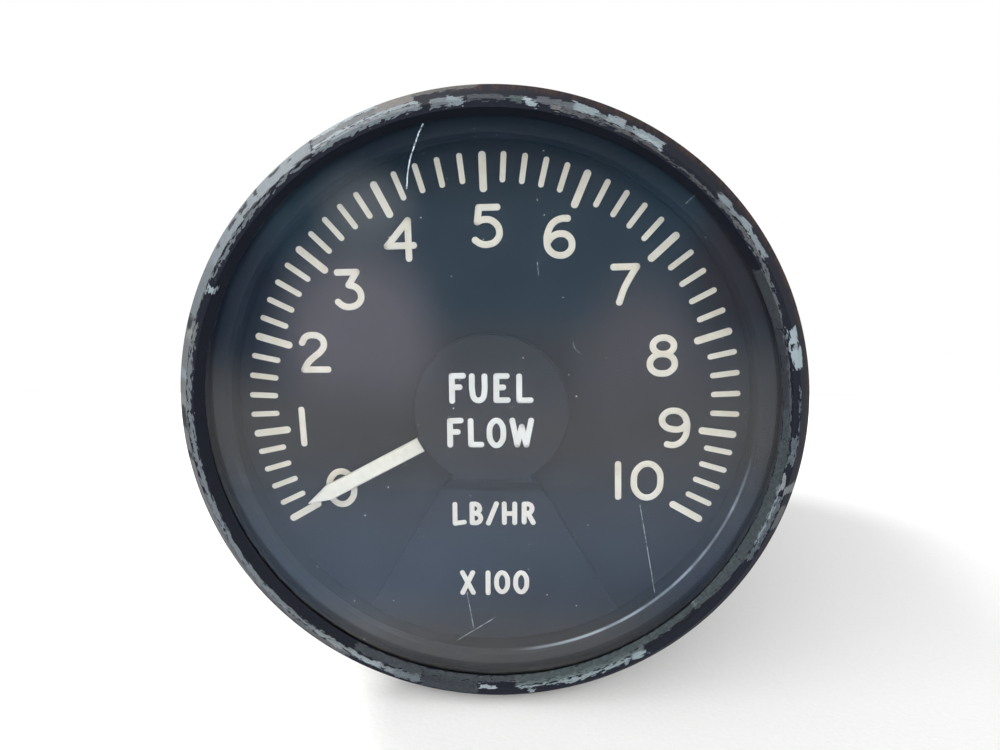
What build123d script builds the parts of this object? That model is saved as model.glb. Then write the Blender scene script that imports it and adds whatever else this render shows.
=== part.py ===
from build123d import *
import os
from math import cos, hypot, radians, sin, sqrt

os.makedirs("parts", exist_ok=True)

# Fuel flow gauge, in millimetres. The dial looks along -Y, the case runs back along +Y, +Z is up.
# The origin is on the dial's axis, in the bezel's rear face, which seats on the panel.
# Depths are places on the Y axis, so what lies in front of that face has a depth below zero.
# Angles on the dial are in degrees clockwise from the top, as they are read.

# Fits
slip_gap = 0.10  # radial room round a piece that drops into another
press_gap = 0.02  # radial room left at a pressed or cemented joint
running_gap = 0.04  # radial room of the shaft in its bearings
air_gap = 0.30  # radial room between rotor and stator
screw_room = 0.15  # radial room of a screw in a plain hole
hidden_gap = 0.50  # axial room between inner pieces that must not touch

# Bezel, a ring rolled over the glass at its front and behind the case flange at its back
bezel_diameter = 82.55
bezel_wall = 1.4
bezel_band = 3.675  # from the outer edge in to the sight of the glass
lip_flare = 0.7  # how much wider the front mouth is than the sight
lip_depth = 1.9  # from the front face down to the glass
bevel_width = 2.0  # outer front bevel, across the face
bevel_depth = 2.9  # the same bevel, along the side
bevel_round = 0.4  # where it meets the face and the side
rear_lip_width = 0.8
rear_lip_thickness = 1.0
rear_chamfer = 0.35

# Glass, gaskets and the flanges that the bezel holds together
glass_thickness = 2.0
glass_bevel = 0.3
glass_gasket_width = 1.7
glass_gasket_thickness = 0.7
mask_flange_thickness = 2.4
case_gasket_thickness = 0.5
case_flange_thickness = 1.0

# Mask ring
mask_width = 2.4  # what the sight shows of it
mask_setback = 1.2  # its face behind the glass
mask_height = 3.9  # its face above the dial
mask_bevel = 0.6

# Dial and its marks
dial_thickness = 1.0
dial_bore_gap = 0.8
scale_margin = 1.4  # from the mask ring in to the marks
mark_thickness = 0.1
minor_length = 3.95
minor_width = 0.75
major_length = 5.2
major_width = 0.98
steps_between_majors = 5
# The scale isn't even: these are the angles of the long marks, 0 to 10
major_angles = (-120.5, -97.5, -73.5, -50.5, -27.5, -2.0, 22.0, 46.5, 72.0, 97.0, 119.5)

# Legend plate: a sector that lies on the dial, joggled up to a disc over the pointer's hub
legend_thickness = 0.8
legend_disc_radius = 10.5
legend_half_angle = 30.5
legend_glass_gap = 1.1
legend_edge_gap = 0.2
legend_bevel = 0.25
legend_bend_radius = 0.8
riser_inset = 0.8  # the bend starts this far inside the disc's edge
riser_run = 2.3
legend_screw_circle = 22.0
legend_screw_angle = 18.0  # each side of straight down
legend_screw_radius = 0.7
legend_screw_bite = 0.55
legend_head_radius = 1.4
legend_head_height = 1.0

# Pointer
pointer_lead = 2.0  # the parked pointer stands this far above the zero mark
pointer_width = 2.1
pointer_thickness = 0.6
pointer_lift = 1.4  # its back above the dial
pointer_point = 3.4
pointer_tip_gap = 0.25
pointer_eye_radius = 3.4
pointer_bevel = 0.15
tail_length = 8.1
tail_width = 2.6
hub_sleeve_radius = 1.95
hub_flange_radius = 2.9
hub_flange_thickness = 0.8
hub_proud = 0.4
hub_tail = 3.0
counterweight_radius = 1.9
counterweight_thickness = 0.9
rivet_radius = 0.6

# Movement frame
screw_edge_distance = 1.2
dial_screw_radius = 0.8
dial_screw_bite = 1.6
dial_head_radius = 1.4
dial_head_height = 1.2
movement_ring_thickness = 2.5
movement_ring_width = 8.4
post_count = 3
post_angle = 30.0
post_length = 11.5
post_body_radius = 2.5
post_spigot_radius = 1.5
plate_thickness = 3.0
plate_wall_gap = 1.0
post_screw_radius = 1.25
post_screw_bite = 5.0
post_head_radius = 2.3
post_head_height = 1.5

# Synchro receiver that turns the pointer
pilot_radius = 15.9
synchro_radius = 18.0
synchro_wall = 1.5
front_wall = 1.5
flange_length = 2.0
groove_length = 1.8
groove_depth = 0.7
shaft_radius = 1.59
shaft_body_radius = 2.2
shaft_hole_gap = 1.2
bearing_radius = 4.76
bearing_width = 4.0
bearing_shoulder = 1.0
bearing_rim = 0.5
bearing_boss_wall = 2.2
shield_recess = 0.25
shield_margin = 0.7
winding_room = 5.0
winding_overhang = 4.0
winding_spread = 1.6
winding_wall_gap = 1.1
winding_round = 1.2
stator_length = 20.0
stator_depth = 7.2  # from the housing's bore in to the rotor's tunnel
slot_count = 12
slot_opening = 0.9
slot_width = 2.2
tooth_tip = 1.1
slot_liner = 0.1
neck_width = 6.8
shoe_thickness = 3.8
coil_gap = 0.3
coil_overhang = 3.0
coil_round = 1.0
sleeve_length = 4.4
sleeve_wall = 1.2
ring_wall = 0.9
ring_width = 1.2
ring_pitch = 1.8
brush_gap = 0.3
brush_length = 2.4
brush_size = 0.9
block_thickness = 4.0
block_height = 8.0
cap_spigot = 2.0
cap_wall = 2.0
clamp_radius = 3.4
clamp_thickness = 1.4
clamp_boss_radius = 1.9
clamp_screw_radius = 1.0
clamp_screw_bite = 2.0
clamp_head_radius = 1.8
clamp_head_height = 1.4
board_radius = 14.0
board_thickness = 1.5
terminal_count = 5
terminal_circle = 11.0
terminal_radius = 0.9
terminal_waist = 0.55
terminal_length = 3.0
lead_radius = 0.45
lead_straight = 3.5
wire_room = 13.0

# Case and the receptacle on its back
case_wall = 1.0
case_back_thickness = 1.2
case_corner = 4.0
case_neck_relief = 0.3  # how far the can tapers in where the bezel is rolled over it
connector_gasket_thickness = 0.8
flange_side = 30.2
flange_corner = 3.0
connector_flange_thickness = 2.2
barrel_radius = 11.1
barrel_length = 12.0
barrel_chamfer = 0.6
socket_wall = 1.4
socket_depth = 10.0
skirt_radius = 10.3
skirt_length = 7.8
insert_radius = 8.9
insert_proud = 0.5
key_width = 1.6
key_height = 0.9
pin_count = 6
pin_circle = 5.2
pin_radius = 0.8
pin_setback = 4.6  # its tip below the barrel's rim
cup_radius = 1.1
cup_length = 3.5
connector_screw_inset = 3.6  # from the flange's edges
connector_screw_radius = 1.42
connector_head_radius = 2.6
connector_head_height = 1.7
driver_slot = 0.6
nut_flats = 6.35
nut_thickness = 2.0

# Radii, from the bezel inwards
bezel_radius = bezel_diameter / 2
pocket_radius = bezel_radius - bezel_wall
sight_radius = bezel_radius - bezel_band
lip_radius = sight_radius + lip_flare
stack_radius = pocket_radius - slip_gap
rear_opening_radius = pocket_radius - rear_lip_width
case_radius = rear_opening_radius - slip_gap
case_inner_radius = case_radius - case_wall
mask_opening_radius = sight_radius - mask_width
mask_body_radius = case_inner_radius - slip_gap
gasket_inner_radius = stack_radius - glass_gasket_width
scale_radius = mask_opening_radius - scale_margin
dial_bore_radius = hub_sleeve_radius + dial_bore_gap
dial_screw_circle = mask_opening_radius + screw_edge_distance
ring_inner_radius = mask_body_radius - movement_ring_width
post_circle = mask_body_radius - movement_ring_width / 2
plate_radius = case_inner_radius - plate_wall_gap
screw_angle = post_angle + 180 / post_count  # screws stand midway between the posts

# Depths, from the bezel's rear face forwards, and then from the dial backwards
case_flange_back = -rear_lip_thickness
case_flange_front = case_flange_back - case_flange_thickness
mask_flange_back = case_flange_front - case_gasket_thickness
mask_flange_front = mask_flange_back - mask_flange_thickness
glass_back = mask_flange_front - glass_gasket_thickness
glass_front = glass_back - glass_thickness
bezel_front = glass_front - lip_depth
mask_face = glass_back + mask_setback
dial_front = mask_face + mask_height
dial_back = dial_front + dial_thickness
ring_back = dial_back + movement_ring_thickness
plate_front = ring_back + post_length
plate_back = plate_front + plate_thickness


# A sketch plane square to the axis at a depth, seen as the dial is seen, with Z upwards.
# An extrusion of a positive amount comes forwards from it, and of a negative one goes back.
def facing(depth):
    return Plane.XZ.offset(-depth)


# The same plane turned clockwise, so that its own upward direction points at a dial angle
def facing_turned(depth, angle):
    across = Vector(cos(radians(angle)), 0, -sin(radians(angle)))
    return Plane(origin=(0, depth, 0), x_dir=across, z_dir=(0, -1, 0))


# Bezel
with BuildPart() as bezel_ring:
    with BuildSketch(Plane.XY):
        with BuildLine():
            FilletPolyline(
                (lip_radius, bezel_front),
                (bezel_radius - bevel_width, bezel_front),
                (bezel_radius, bezel_front + bevel_depth),
                (bezel_radius, -rear_chamfer),
                radius=bevel_round,
            )
            Polyline(
                (bezel_radius, -rear_chamfer),
                (bezel_radius - rear_chamfer, 0),
                (rear_opening_radius, 0),
                (rear_opening_radius, case_flange_back),
                (pocket_radius, case_flange_back),
                (pocket_radius, glass_front),
                (sight_radius, glass_front),
                (lip_radius, bezel_front),
            )
        make_face()
    revolve(axis=Axis.Y)
bezel_ring.part.label = "bezel_ring"
export_step(bezel_ring.part, "parts/bezel_ring.step")

with BuildPart() as cover_glass:
    with BuildSketch(facing(glass_back)):
        Circle(stack_radius)
    extrude(amount=glass_thickness)
    chamfer(cover_glass.edges(), length=glass_bevel)
cover_glass.part.label = "cover_glass"
export_step(cover_glass.part, "parts/cover_glass.step")

with BuildPart() as glass_gasket:
    with BuildSketch(facing(mask_flange_front)):
        Circle(stack_radius)
        Circle(gasket_inner_radius, mode=Mode.SUBTRACT)
    extrude(amount=glass_gasket_thickness)
glass_gasket.part.label = "glass_gasket"
export_step(glass_gasket.part, "parts/glass_gasket.step")

# The mask ring hangs the whole movement: its flange is clamped in the bezel
with BuildPart() as mask_ring:
    with BuildSketch(Plane.XY):
        with BuildLine():
            Polyline(
                (mask_opening_radius, dial_front),
                (mask_opening_radius, mask_face + mask_bevel),
                (mask_opening_radius + mask_bevel, mask_face),
                (gasket_inner_radius, mask_face),
                (gasket_inner_radius, mask_flange_front),
                (stack_radius, mask_flange_front),
                (stack_radius, mask_flange_back),
                (mask_body_radius, mask_flange_back),
                (mask_body_radius, dial_front),
                close=True,
            )
        make_face()
    revolve(axis=Axis.Y)
    with BuildSketch(facing(dial_front)):
        with PolarLocations(dial_screw_circle, post_count, start_angle=screw_angle):
            Circle(dial_screw_radius + press_gap)
    extrude(amount=dial_screw_bite, mode=Mode.SUBTRACT)
mask_ring.part.label = "mask_ring"
export_step(mask_ring.part, "parts/mask_ring.step")

with BuildPart() as case_gasket:
    with BuildSketch(facing(case_flange_front)):
        Circle(stack_radius)
        Circle(case_inner_radius, mode=Mode.SUBTRACT)
    extrude(amount=case_gasket_thickness)
case_gasket.part.label = "case_gasket"
export_step(case_gasket.part, "parts/case_gasket.step")

# Dial
legend_screw_places = [
    (
        side * legend_screw_circle * sin(radians(legend_screw_angle)),
        -legend_screw_circle * cos(radians(legend_screw_angle)),
    )
    for side in (-1, 1)
]

with BuildPart() as dial_plate:
    with BuildSketch(facing(dial_back)):
        Circle(mask_body_radius)
        Circle(dial_bore_radius, mode=Mode.SUBTRACT)
        with PolarLocations(dial_screw_circle, post_count, start_angle=screw_angle):
            Circle(dial_screw_radius + screw_room, mode=Mode.SUBTRACT)
        with Locations(*legend_screw_places):
            Circle(legend_screw_radius + screw_room, mode=Mode.SUBTRACT)
    extrude(amount=dial_thickness)
dial_plate.part.label = "dial_plate"
export_step(dial_plate.part, "parts/dial_plate.step")

# Each long mark is followed by evenly spaced short ones up to the next long mark
with BuildPart() as dial_marks:
    for number, angle in enumerate(major_angles):
        with BuildSketch(facing_turned(dial_front, angle)):
            with Locations((0, scale_radius - major_length / 2)):
                SlotOverall(major_length, major_width, rotation=90)
        extrude(amount=mark_thickness)
        if number + 1 < len(major_angles):
            step = (major_angles[number + 1] - angle) / steps_between_majors
            for place in range(1, steps_between_majors):
                with BuildSketch(facing_turned(dial_front, angle + place * step)):
                    with Locations((0, scale_radius - minor_length / 2)):
                        SlotOverall(minor_length, minor_width, rotation=90)
                extrude(amount=mark_thickness)
dial_marks.part.label = "dial_marks"
export_step(dial_marks.part, "parts/dial_marks.step")

# Legend plate. Its outline is the disc joined to the sector, and its section is a joggled sheet.
disc_front = glass_back + legend_glass_gap
disc_back = disc_front + legend_thickness
sector_front = dial_front - legend_thickness
sector_radius = mask_opening_radius - legend_edge_gap
riser_top = -(legend_disc_radius - riser_inset)
riser_bottom = riser_top - riser_run
riser_rise = sector_front - disc_front
riser_shift = legend_thickness * (hypot(riser_rise, riser_run) - riser_run) / riser_rise
sector_side = 2 * sector_radius * sin(radians(legend_half_angle))
sector_drop = 2 * sector_radius * cos(radians(legend_half_angle))

with BuildPart() as legend_plate:
    with BuildSketch(facing(dial_front)):
        with BuildLine():
            Polyline((0, 0), (sector_side, -sector_drop), (-sector_side, -sector_drop), close=True)
        make_face()
        Circle(sector_radius, mode=Mode.INTERSECT)
        Circle(legend_disc_radius)
    extrude(amount=dial_front - disc_front)
    with BuildSketch(Plane.YZ) as sheet_section:
        with BuildLine():
            Polyline(
                (disc_front, 2 * legend_disc_radius),
                (disc_front, riser_top),
                (sector_front, riser_bottom),
                (sector_front, -2 * sector_radius),
                (dial_front, -2 * sector_radius),
                (dial_front, riser_bottom + riser_shift),
                (disc_back, riser_top + riser_shift),
                (disc_back, 2 * legend_disc_radius),
                close=True,
            )
        make_face()
        bends = sheet_section.vertices().sort_by(Axis.Y)[2:6]
        fillet(bends, radius=legend_bend_radius)
    extrude(amount=2 * sector_radius, both=True, mode=Mode.INTERSECT)
    with BuildSketch(facing(dial_front)):
        with Locations(*legend_screw_places):
            Circle(legend_screw_radius + press_gap)
    extrude(amount=legend_screw_bite, mode=Mode.SUBTRACT)
    disc_face = legend_plate.faces().sort_by(Axis.Y)[0]
    chamfer(disc_face.edges().filter_by(GeomType.CIRCLE), length=legend_bevel)
legend_plate.part.label = "legend_plate"
export_step(legend_plate.part, "parts/legend_plate.step")

with BuildPart() as legend_screws:
    with BuildSketch(facing(dial_back)):
        with Locations(*legend_screw_places):
            Circle(legend_screw_radius)
    extrude(amount=dial_thickness + legend_screw_bite)
    with BuildSketch(facing(dial_back)):
        with Locations(*legend_screw_places):
            Circle(legend_head_radius)
    extrude(amount=-legend_head_height)
    with BuildSketch(facing(dial_back + legend_head_height)):
        with Locations(*legend_screw_places):
            Rectangle(2 * legend_head_radius, driver_slot)
    extrude(amount=legend_head_height / 2, mode=Mode.SUBTRACT)
legend_screws.part.label = "legend_screws"
export_step(legend_screws.part, "parts/legend_screws.step")

# Pointer, drawn upright on a plane that is turned to the angle where it rests
pointer_angle = major_angles[0] + pointer_lead
pointer_back = dial_front - pointer_lift
pointer_front = pointer_back - pointer_thickness
pointer_reach = scale_radius - minor_length - pointer_tip_gap
weight_place = (0, -(tail_length - counterweight_radius))

with BuildPart() as pointer:
    with BuildSketch(facing_turned(pointer_back, pointer_angle)):
        with BuildLine():
            Polyline(
                (-pointer_width / 2, 0),
                (-pointer_width / 2, pointer_reach - pointer_point),
                (0, pointer_reach),
                (pointer_width / 2, pointer_reach - pointer_point),
                (pointer_width / 2, 0),
                close=True,
            )
        make_face()
        Circle(pointer_eye_radius)
        with Locations((0, -tail_length / 2)):
            Rectangle(tail_width, tail_length)
        Circle(hub_sleeve_radius + press_gap, mode=Mode.SUBTRACT)
        with Locations(weight_place):
            Circle(rivet_radius + press_gap, mode=Mode.SUBTRACT)
    extrude(amount=pointer_thickness)
    front_edges = pointer.faces().sort_by(Axis.Y)[0].outer_wire().edges()
    chamfer(front_edges, length=pointer_bevel)
pointer.part.label = "pointer"
export_step(pointer.part, "parts/pointer.step")

with BuildPart() as counterweight:
    with BuildSketch(facing_turned(pointer_back, pointer_angle)):
        with Locations(weight_place):
            Circle(counterweight_radius)
    extrude(amount=-counterweight_thickness)
    with BuildSketch(facing_turned(pointer_back, pointer_angle)):
        with Locations(weight_place):
            Circle(rivet_radius)
    extrude(amount=pointer_thickness)
counterweight.part.label = "counterweight"
export_step(counterweight.part, "parts/counterweight.step")

hub_front = pointer_front - hub_proud
hub_back = pointer_back + hub_tail
with BuildPart() as pointer_hub:
    with BuildSketch(Plane.XY):
        with BuildLine():
            Polyline(
                (shaft_radius + press_gap, hub_front),
                (hub_sleeve_radius, hub_front),
                (hub_sleeve_radius, pointer_back),
                (hub_flange_radius, pointer_back),
                (hub_flange_radius, pointer_back + hub_flange_thickness),
                (hub_sleeve_radius, pointer_back + hub_flange_thickness),
                (hub_sleeve_radius, hub_back),
                (shaft_radius + press_gap, hub_back),
                close=True,
            )
        make_face()
    revolve(axis=Axis.Y)
pointer_hub.part.label = "pointer_hub"
export_step(pointer_hub.part, "parts/pointer_hub.step")

# Movement frame: a ring behind the dial, three posts, and the plate that carries the synchro
with BuildPart() as movement_ring:
    with BuildSketch(facing(ring_back)):
        Circle(mask_body_radius)
        Circle(ring_inner_radius, mode=Mode.SUBTRACT)
        with PolarLocations(dial_screw_circle, post_count, start_angle=screw_angle):
            Circle(dial_screw_radius + screw_room, mode=Mode.SUBTRACT)
        with PolarLocations(post_circle, post_count, start_angle=post_angle):
            Circle(post_spigot_radius + press_gap, mode=Mode.SUBTRACT)
    extrude(amount=movement_ring_thickness)
movement_ring.part.label = "movement_ring"
export_step(movement_ring.part, "parts/movement_ring.step")

with BuildPart() as dial_screws:
    with BuildSketch(facing(ring_back)):
        with PolarLocations(dial_screw_circle, post_count, start_angle=screw_angle):
            Circle(dial_screw_radius)
    extrude(amount=movement_ring_thickness + dial_thickness + dial_screw_bite)
    with BuildSketch(facing(ring_back)):
        with PolarLocations(dial_screw_circle, post_count, start_angle=screw_angle):
            Circle(dial_head_radius)
    extrude(amount=-dial_head_height)
    with BuildSketch(facing(ring_back + dial_head_height)):
        with PolarLocations(dial_screw_circle, post_count, start_angle=screw_angle):
            Rectangle(2 * dial_head_radius, driver_slot)
    extrude(amount=dial_head_height / 2, mode=Mode.SUBTRACT)
dial_screws.part.label = "dial_screws"
export_step(dial_screws.part, "parts/dial_screws.step")

with BuildPart() as frame_posts:
    with BuildSketch(facing(plate_front)):
        with PolarLocations(post_circle, post_count, start_angle=post_angle):
            Circle(post_body_radius)
    extrude(amount=post_length)
    with BuildSketch(facing(ring_back)):
        with PolarLocations(post_circle, post_count, start_angle=post_angle):
            Circle(post_spigot_radius)
    extrude(amount=movement_ring_thickness)
    with BuildSketch(facing(plate_front)):
        with PolarLocations(post_circle, post_count, start_angle=post_angle):
            Circle(post_screw_radius + press_gap)
    extrude(amount=post_screw_bite, mode=Mode.SUBTRACT)
frame_posts.part.label = "frame_posts"
export_step(frame_posts.part, "parts/frame_posts.step")

# Each clamp reaches into the synchro's groove from just outside its flange
groove_radius = synchro_radius - groove_depth
clamp_circle = groove_radius + slip_gap + clamp_radius
flange_back = plate_back + flange_length
clamp_back = flange_back + clamp_thickness

with BuildPart() as mounting_plate:
    with BuildSketch(facing(plate_back)):
        Circle(plate_radius)
        Circle(pilot_radius + slip_gap, mode=Mode.SUBTRACT)
        with PolarLocations(post_circle, post_count, start_angle=post_angle):
            Circle(post_screw_radius + screw_room, mode=Mode.SUBTRACT)
    extrude(amount=plate_thickness)
    with BuildSketch(facing(plate_back)):
        with PolarLocations(clamp_circle, post_count, start_angle=screw_angle):
            Circle(clamp_screw_radius + press_gap)
    extrude(amount=clamp_screw_bite, mode=Mode.SUBTRACT)
mounting_plate.part.label = "mounting_plate"
export_step(mounting_plate.part, "parts/mounting_plate.step")

with BuildPart() as post_screws:
    with BuildSketch(facing(plate_back)):
        with PolarLocations(post_circle, post_count, start_angle=post_angle):
            Circle(post_screw_radius)
    extrude(amount=plate_thickness + post_screw_bite)
    with BuildSketch(facing(plate_back)):
        with PolarLocations(post_circle, post_count, start_angle=post_angle):
            Circle(post_head_radius)
    extrude(amount=-post_head_height)
    with BuildSketch(facing(plate_back + post_head_height)):
        with PolarLocations(post_circle, post_count, start_angle=post_angle):
            Rectangle(2 * post_head_radius, driver_slot)
    extrude(amount=post_head_height / 2, mode=Mode.SUBTRACT)
post_screws.part.label = "post_screws"
export_step(post_screws.part, "parts/post_screws.step")

# Synchro housing, with the front bearing pocketed from inside
cavity_front = plate_back + front_wall
cavity_radius = synchro_radius - synchro_wall
front_bearing_front = plate_front + bearing_shoulder
front_bearing_back = front_bearing_front + bearing_width
boss_back = max(front_bearing_back, cavity_front) + bearing_rim
boss_radius = bearing_radius + bearing_boss_wall
winding_front = cavity_front + winding_room
stator_front = winding_front + winding_overhang
stator_back = stator_front + stator_length
winding_back = stator_back + winding_overhang
sleeve_front = winding_back + hidden_gap
sleeve_back = sleeve_front + sleeve_length
cap_front = sleeve_back + hidden_gap
synchro_back = cap_front + cap_spigot
rear_bearing_back = cap_front + bearing_width
cap_back = max(rear_bearing_back, synchro_back) + cap_wall

with BuildPart() as synchro_housing:
    with BuildSketch(Plane.XY):
        with BuildLine():
            Polyline(
                (shaft_radius + shaft_hole_gap, plate_front),
                (pilot_radius, plate_front),
                (pilot_radius, plate_back),
                (synchro_radius, plate_back),
                (synchro_radius, flange_back),
                (groove_radius, flange_back),
                (groove_radius, flange_back + groove_length),
                (synchro_radius, flange_back + groove_length),
                (synchro_radius, synchro_back),
                (cavity_radius, synchro_back),
                (cavity_radius, cavity_front),
                (boss_radius, cavity_front),
                (boss_radius, boss_back),
                (bearing_radius + press_gap, boss_back),
                (bearing_radius + press_gap, front_bearing_front),
                (shaft_radius + shaft_hole_gap, front_bearing_front),
                close=True,
            )
        make_face()
    revolve(axis=Axis.Y)
synchro_housing.part.label = "synchro_housing"
export_step(synchro_housing.part, "parts/synchro_housing.step")

with BuildPart() as synchro_clamps:
    with BuildSketch(facing(clamp_back)):
        with PolarLocations(clamp_circle, post_count, start_angle=screw_angle):
            Circle(clamp_radius)
    extrude(amount=clamp_thickness)
    with BuildSketch(facing(flange_back)):
        with PolarLocations(clamp_circle, post_count, start_angle=screw_angle):
            Circle(clamp_boss_radius)
    extrude(amount=flange_length)
    with BuildSketch(facing(clamp_back)):
        with PolarLocations(clamp_circle, post_count, start_angle=screw_angle):
            Circle(clamp_screw_radius + screw_room)
    extrude(amount=clamp_thickness + flange_length, mode=Mode.SUBTRACT)
synchro_clamps.part.label = "synchro_clamps"
export_step(synchro_clamps.part, "parts/synchro_clamps.step")

with BuildPart() as clamp_screws:
    with BuildSketch(facing(clamp_back)):
        with PolarLocations(clamp_circle, post_count, start_angle=screw_angle):
            Circle(clamp_screw_radius)
    extrude(amount=clamp_thickness + flange_length + clamp_screw_bite)
    with BuildSketch(facing(clamp_back)):
        with PolarLocations(clamp_circle, post_count, start_angle=screw_angle):
            Circle(clamp_head_radius)
    extrude(amount=-clamp_head_height)
    with BuildSketch(facing(clamp_back + clamp_head_height)):
        with PolarLocations(clamp_circle, post_count, start_angle=screw_angle):
            Rectangle(2 * clamp_head_radius, driver_slot)
    extrude(amount=clamp_head_height / 2, mode=Mode.SUBTRACT)
clamp_screws.part.label = "clamp_screws"
export_step(clamp_screws.part, "parts/clamp_screws.step")


# Outline of one ball bearing with its two shields set in a little
def bearing_outline(front):
    bore = shaft_radius + running_gap
    return [
        (bore, front),
        (bore + shield_margin, front),
        (bore + shield_margin, front + shield_recess),
        (bearing_radius - shield_margin, front + shield_recess),
        (bearing_radius - shield_margin, front),
        (bearing_radius, front),
        (bearing_radius, front + bearing_width),
        (bearing_radius - shield_margin, front + bearing_width),
        (bearing_radius - shield_margin, front + bearing_width - shield_recess),
        (bore + shield_margin, front + bearing_width - shield_recess),
        (bore + shield_margin, front + bearing_width),
        (bore, front + bearing_width),
    ]


with BuildPart() as front_bearing:
    with BuildSketch(Plane.XY):
        with BuildLine():
            Polyline(*bearing_outline(front_bearing_front), close=True)
        make_face()
    revolve(axis=Axis.Y)
front_bearing.part.label = "front_bearing"
export_step(front_bearing.part, "parts/front_bearing.step")

with BuildPart() as rear_bearing:
    with BuildSketch(Plane.XY):
        with BuildLine():
            Polyline(*bearing_outline(cap_front), close=True)
        make_face()
    revolve(axis=Axis.Y)
rear_bearing.part.label = "rear_bearing"
export_step(rear_bearing.part, "parts/rear_bearing.step")

# Stator: slotted laminations, and a winding whose bars run through the slots
stator_bore = cavity_radius - stator_depth
rotor_radius = stator_bore - air_gap
slot_inner = stator_bore + tooth_tip
winding_radius = cavity_radius - winding_wall_gap
slot_outer = winding_radius - winding_spread
slot_depth = slot_outer - slot_inner
slot_middle = slot_inner + slot_depth / 2

with BuildPart() as stator_stack:
    with BuildSketch(facing(stator_back)):
        Circle(cavity_radius - press_gap)
        Circle(stator_bore, mode=Mode.SUBTRACT)
        with PolarLocations(slot_middle, slot_count):
            Rectangle(slot_depth, slot_width, mode=Mode.SUBTRACT)
        with PolarLocations(stator_bore + tooth_tip / 2, slot_count):
            Rectangle(2 * tooth_tip, slot_opening, mode=Mode.SUBTRACT)
    extrude(amount=stator_length)
stator_stack.part.label = "stator_stack"
export_step(stator_stack.part, "parts/stator_stack.step")

with BuildPart() as stator_winding:
    with BuildSketch(facing(stator_back)):
        with PolarLocations(slot_middle, slot_count):
            Rectangle(slot_depth - 2 * slot_liner, slot_width - 2 * slot_liner)
    extrude(amount=stator_length)
    for end_back in (stator_front, winding_back):
        with BuildSketch(facing(end_back)):
            Circle(winding_radius)
            Circle(slot_inner - slot_liner, mode=Mode.SUBTRACT)
        extrude(amount=winding_overhang)
    end_edges = stator_winding.edges().filter_by(GeomType.CIRCLE).sort_by(Axis.Y)
    fillet(end_edges[:2] + end_edges[-2:], radius=winding_round)
stator_winding.part.label = "stator_winding"
export_step(stator_winding.part, "parts/stator_winding.step")

# Rotor: a two-pole core, wound round its neck
window_height = 2 * (rotor_radius - shoe_thickness)
coil_height = window_height - 2 * coil_gap
coil_width = 2 * sqrt(rotor_radius**2 - (window_height / 2) ** 2) - 4 * coil_gap
rotor_bore = shaft_body_radius + press_gap

with BuildPart() as rotor_core:
    with BuildSketch(facing(stator_back)):
        Circle(rotor_radius)
        with Locations((neck_width / 2 + rotor_radius, 0), (-neck_width / 2 - rotor_radius, 0)):
            Rectangle(2 * rotor_radius, window_height, mode=Mode.SUBTRACT)
        Circle(rotor_bore, mode=Mode.SUBTRACT)
    extrude(amount=stator_length)
rotor_core.part.label = "rotor_core"
export_step(rotor_core.part, "parts/rotor_core.step")

with BuildPart() as rotor_winding:
    with BuildSketch(facing(stator_back + coil_overhang)):
        RectangleRounded(coil_width, coil_height, coil_round)
        Circle(rotor_bore + slip_gap, mode=Mode.SUBTRACT)
    extrude(amount=stator_length + 2 * coil_overhang)
    with BuildSketch(facing(stator_back + press_gap)):
        Rectangle(neck_width + 2 * press_gap, window_height)
    extrude(amount=stator_length + 2 * press_gap, mode=Mode.SUBTRACT)
rotor_winding.part.label = "rotor_winding"
export_step(rotor_winding.part, "parts/rotor_winding.step")

shaft_step_front = front_bearing_back + running_gap
shaft_step_back = cap_front - running_gap
shaft_back = rear_bearing_back - running_gap
with BuildPart() as rotor_shaft:
    with BuildSketch(Plane.XY):
        with BuildLine():
            Polyline(
                (0, hub_front),
                (shaft_radius, hub_front),
                (shaft_radius, shaft_step_front),
                (shaft_body_radius, shaft_step_front),
                (shaft_body_radius, shaft_step_back),
                (shaft_radius, shaft_step_back),
                (shaft_radius, shaft_back),
                (0, shaft_back),
                close=True,
            )
        make_face()
    revolve(axis=Axis.Y)
rotor_shaft.part.label = "rotor_shaft"
export_step(rotor_shaft.part, "parts/rotor_shaft.step")

# Slip rings on an insulating sleeve, and their brushes in a block on the end cap
sleeve_radius = shaft_body_radius + sleeve_wall
slip_ring_radius = sleeve_radius + ring_wall
sleeve_middle = sleeve_front + sleeve_length / 2
ring_middles = (sleeve_middle - ring_pitch / 2, sleeve_middle + ring_pitch / 2)
brush_inner = slip_ring_radius + brush_gap
block_inner = brush_inner + brush_length

with BuildPart() as slip_ring_sleeve:
    with BuildSketch(facing(sleeve_back)):
        Circle(sleeve_radius)
        Circle(shaft_body_radius + press_gap, mode=Mode.SUBTRACT)
    extrude(amount=sleeve_length)
slip_ring_sleeve.part.label = "slip_ring_sleeve"
export_step(slip_ring_sleeve.part, "parts/slip_ring_sleeve.step")

with BuildPart() as slip_rings:
    for middle in ring_middles:
        with BuildSketch(facing(middle + ring_width / 2)):
            Circle(slip_ring_radius)
            Circle(sleeve_radius + press_gap, mode=Mode.SUBTRACT)
        extrude(amount=ring_width)
slip_rings.part.label = "slip_rings"
export_step(slip_rings.part, "parts/slip_rings.step")

with BuildPart() as brush_block:
    with BuildSketch(facing(cap_front)):
        with Locations((block_inner + block_thickness / 2, 0)):
            Rectangle(block_thickness, block_height)
    extrude(amount=cap_front - sleeve_front)
brush_block.part.label = "brush_block"
export_step(brush_block.part, "parts/brush_block.step")

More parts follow.
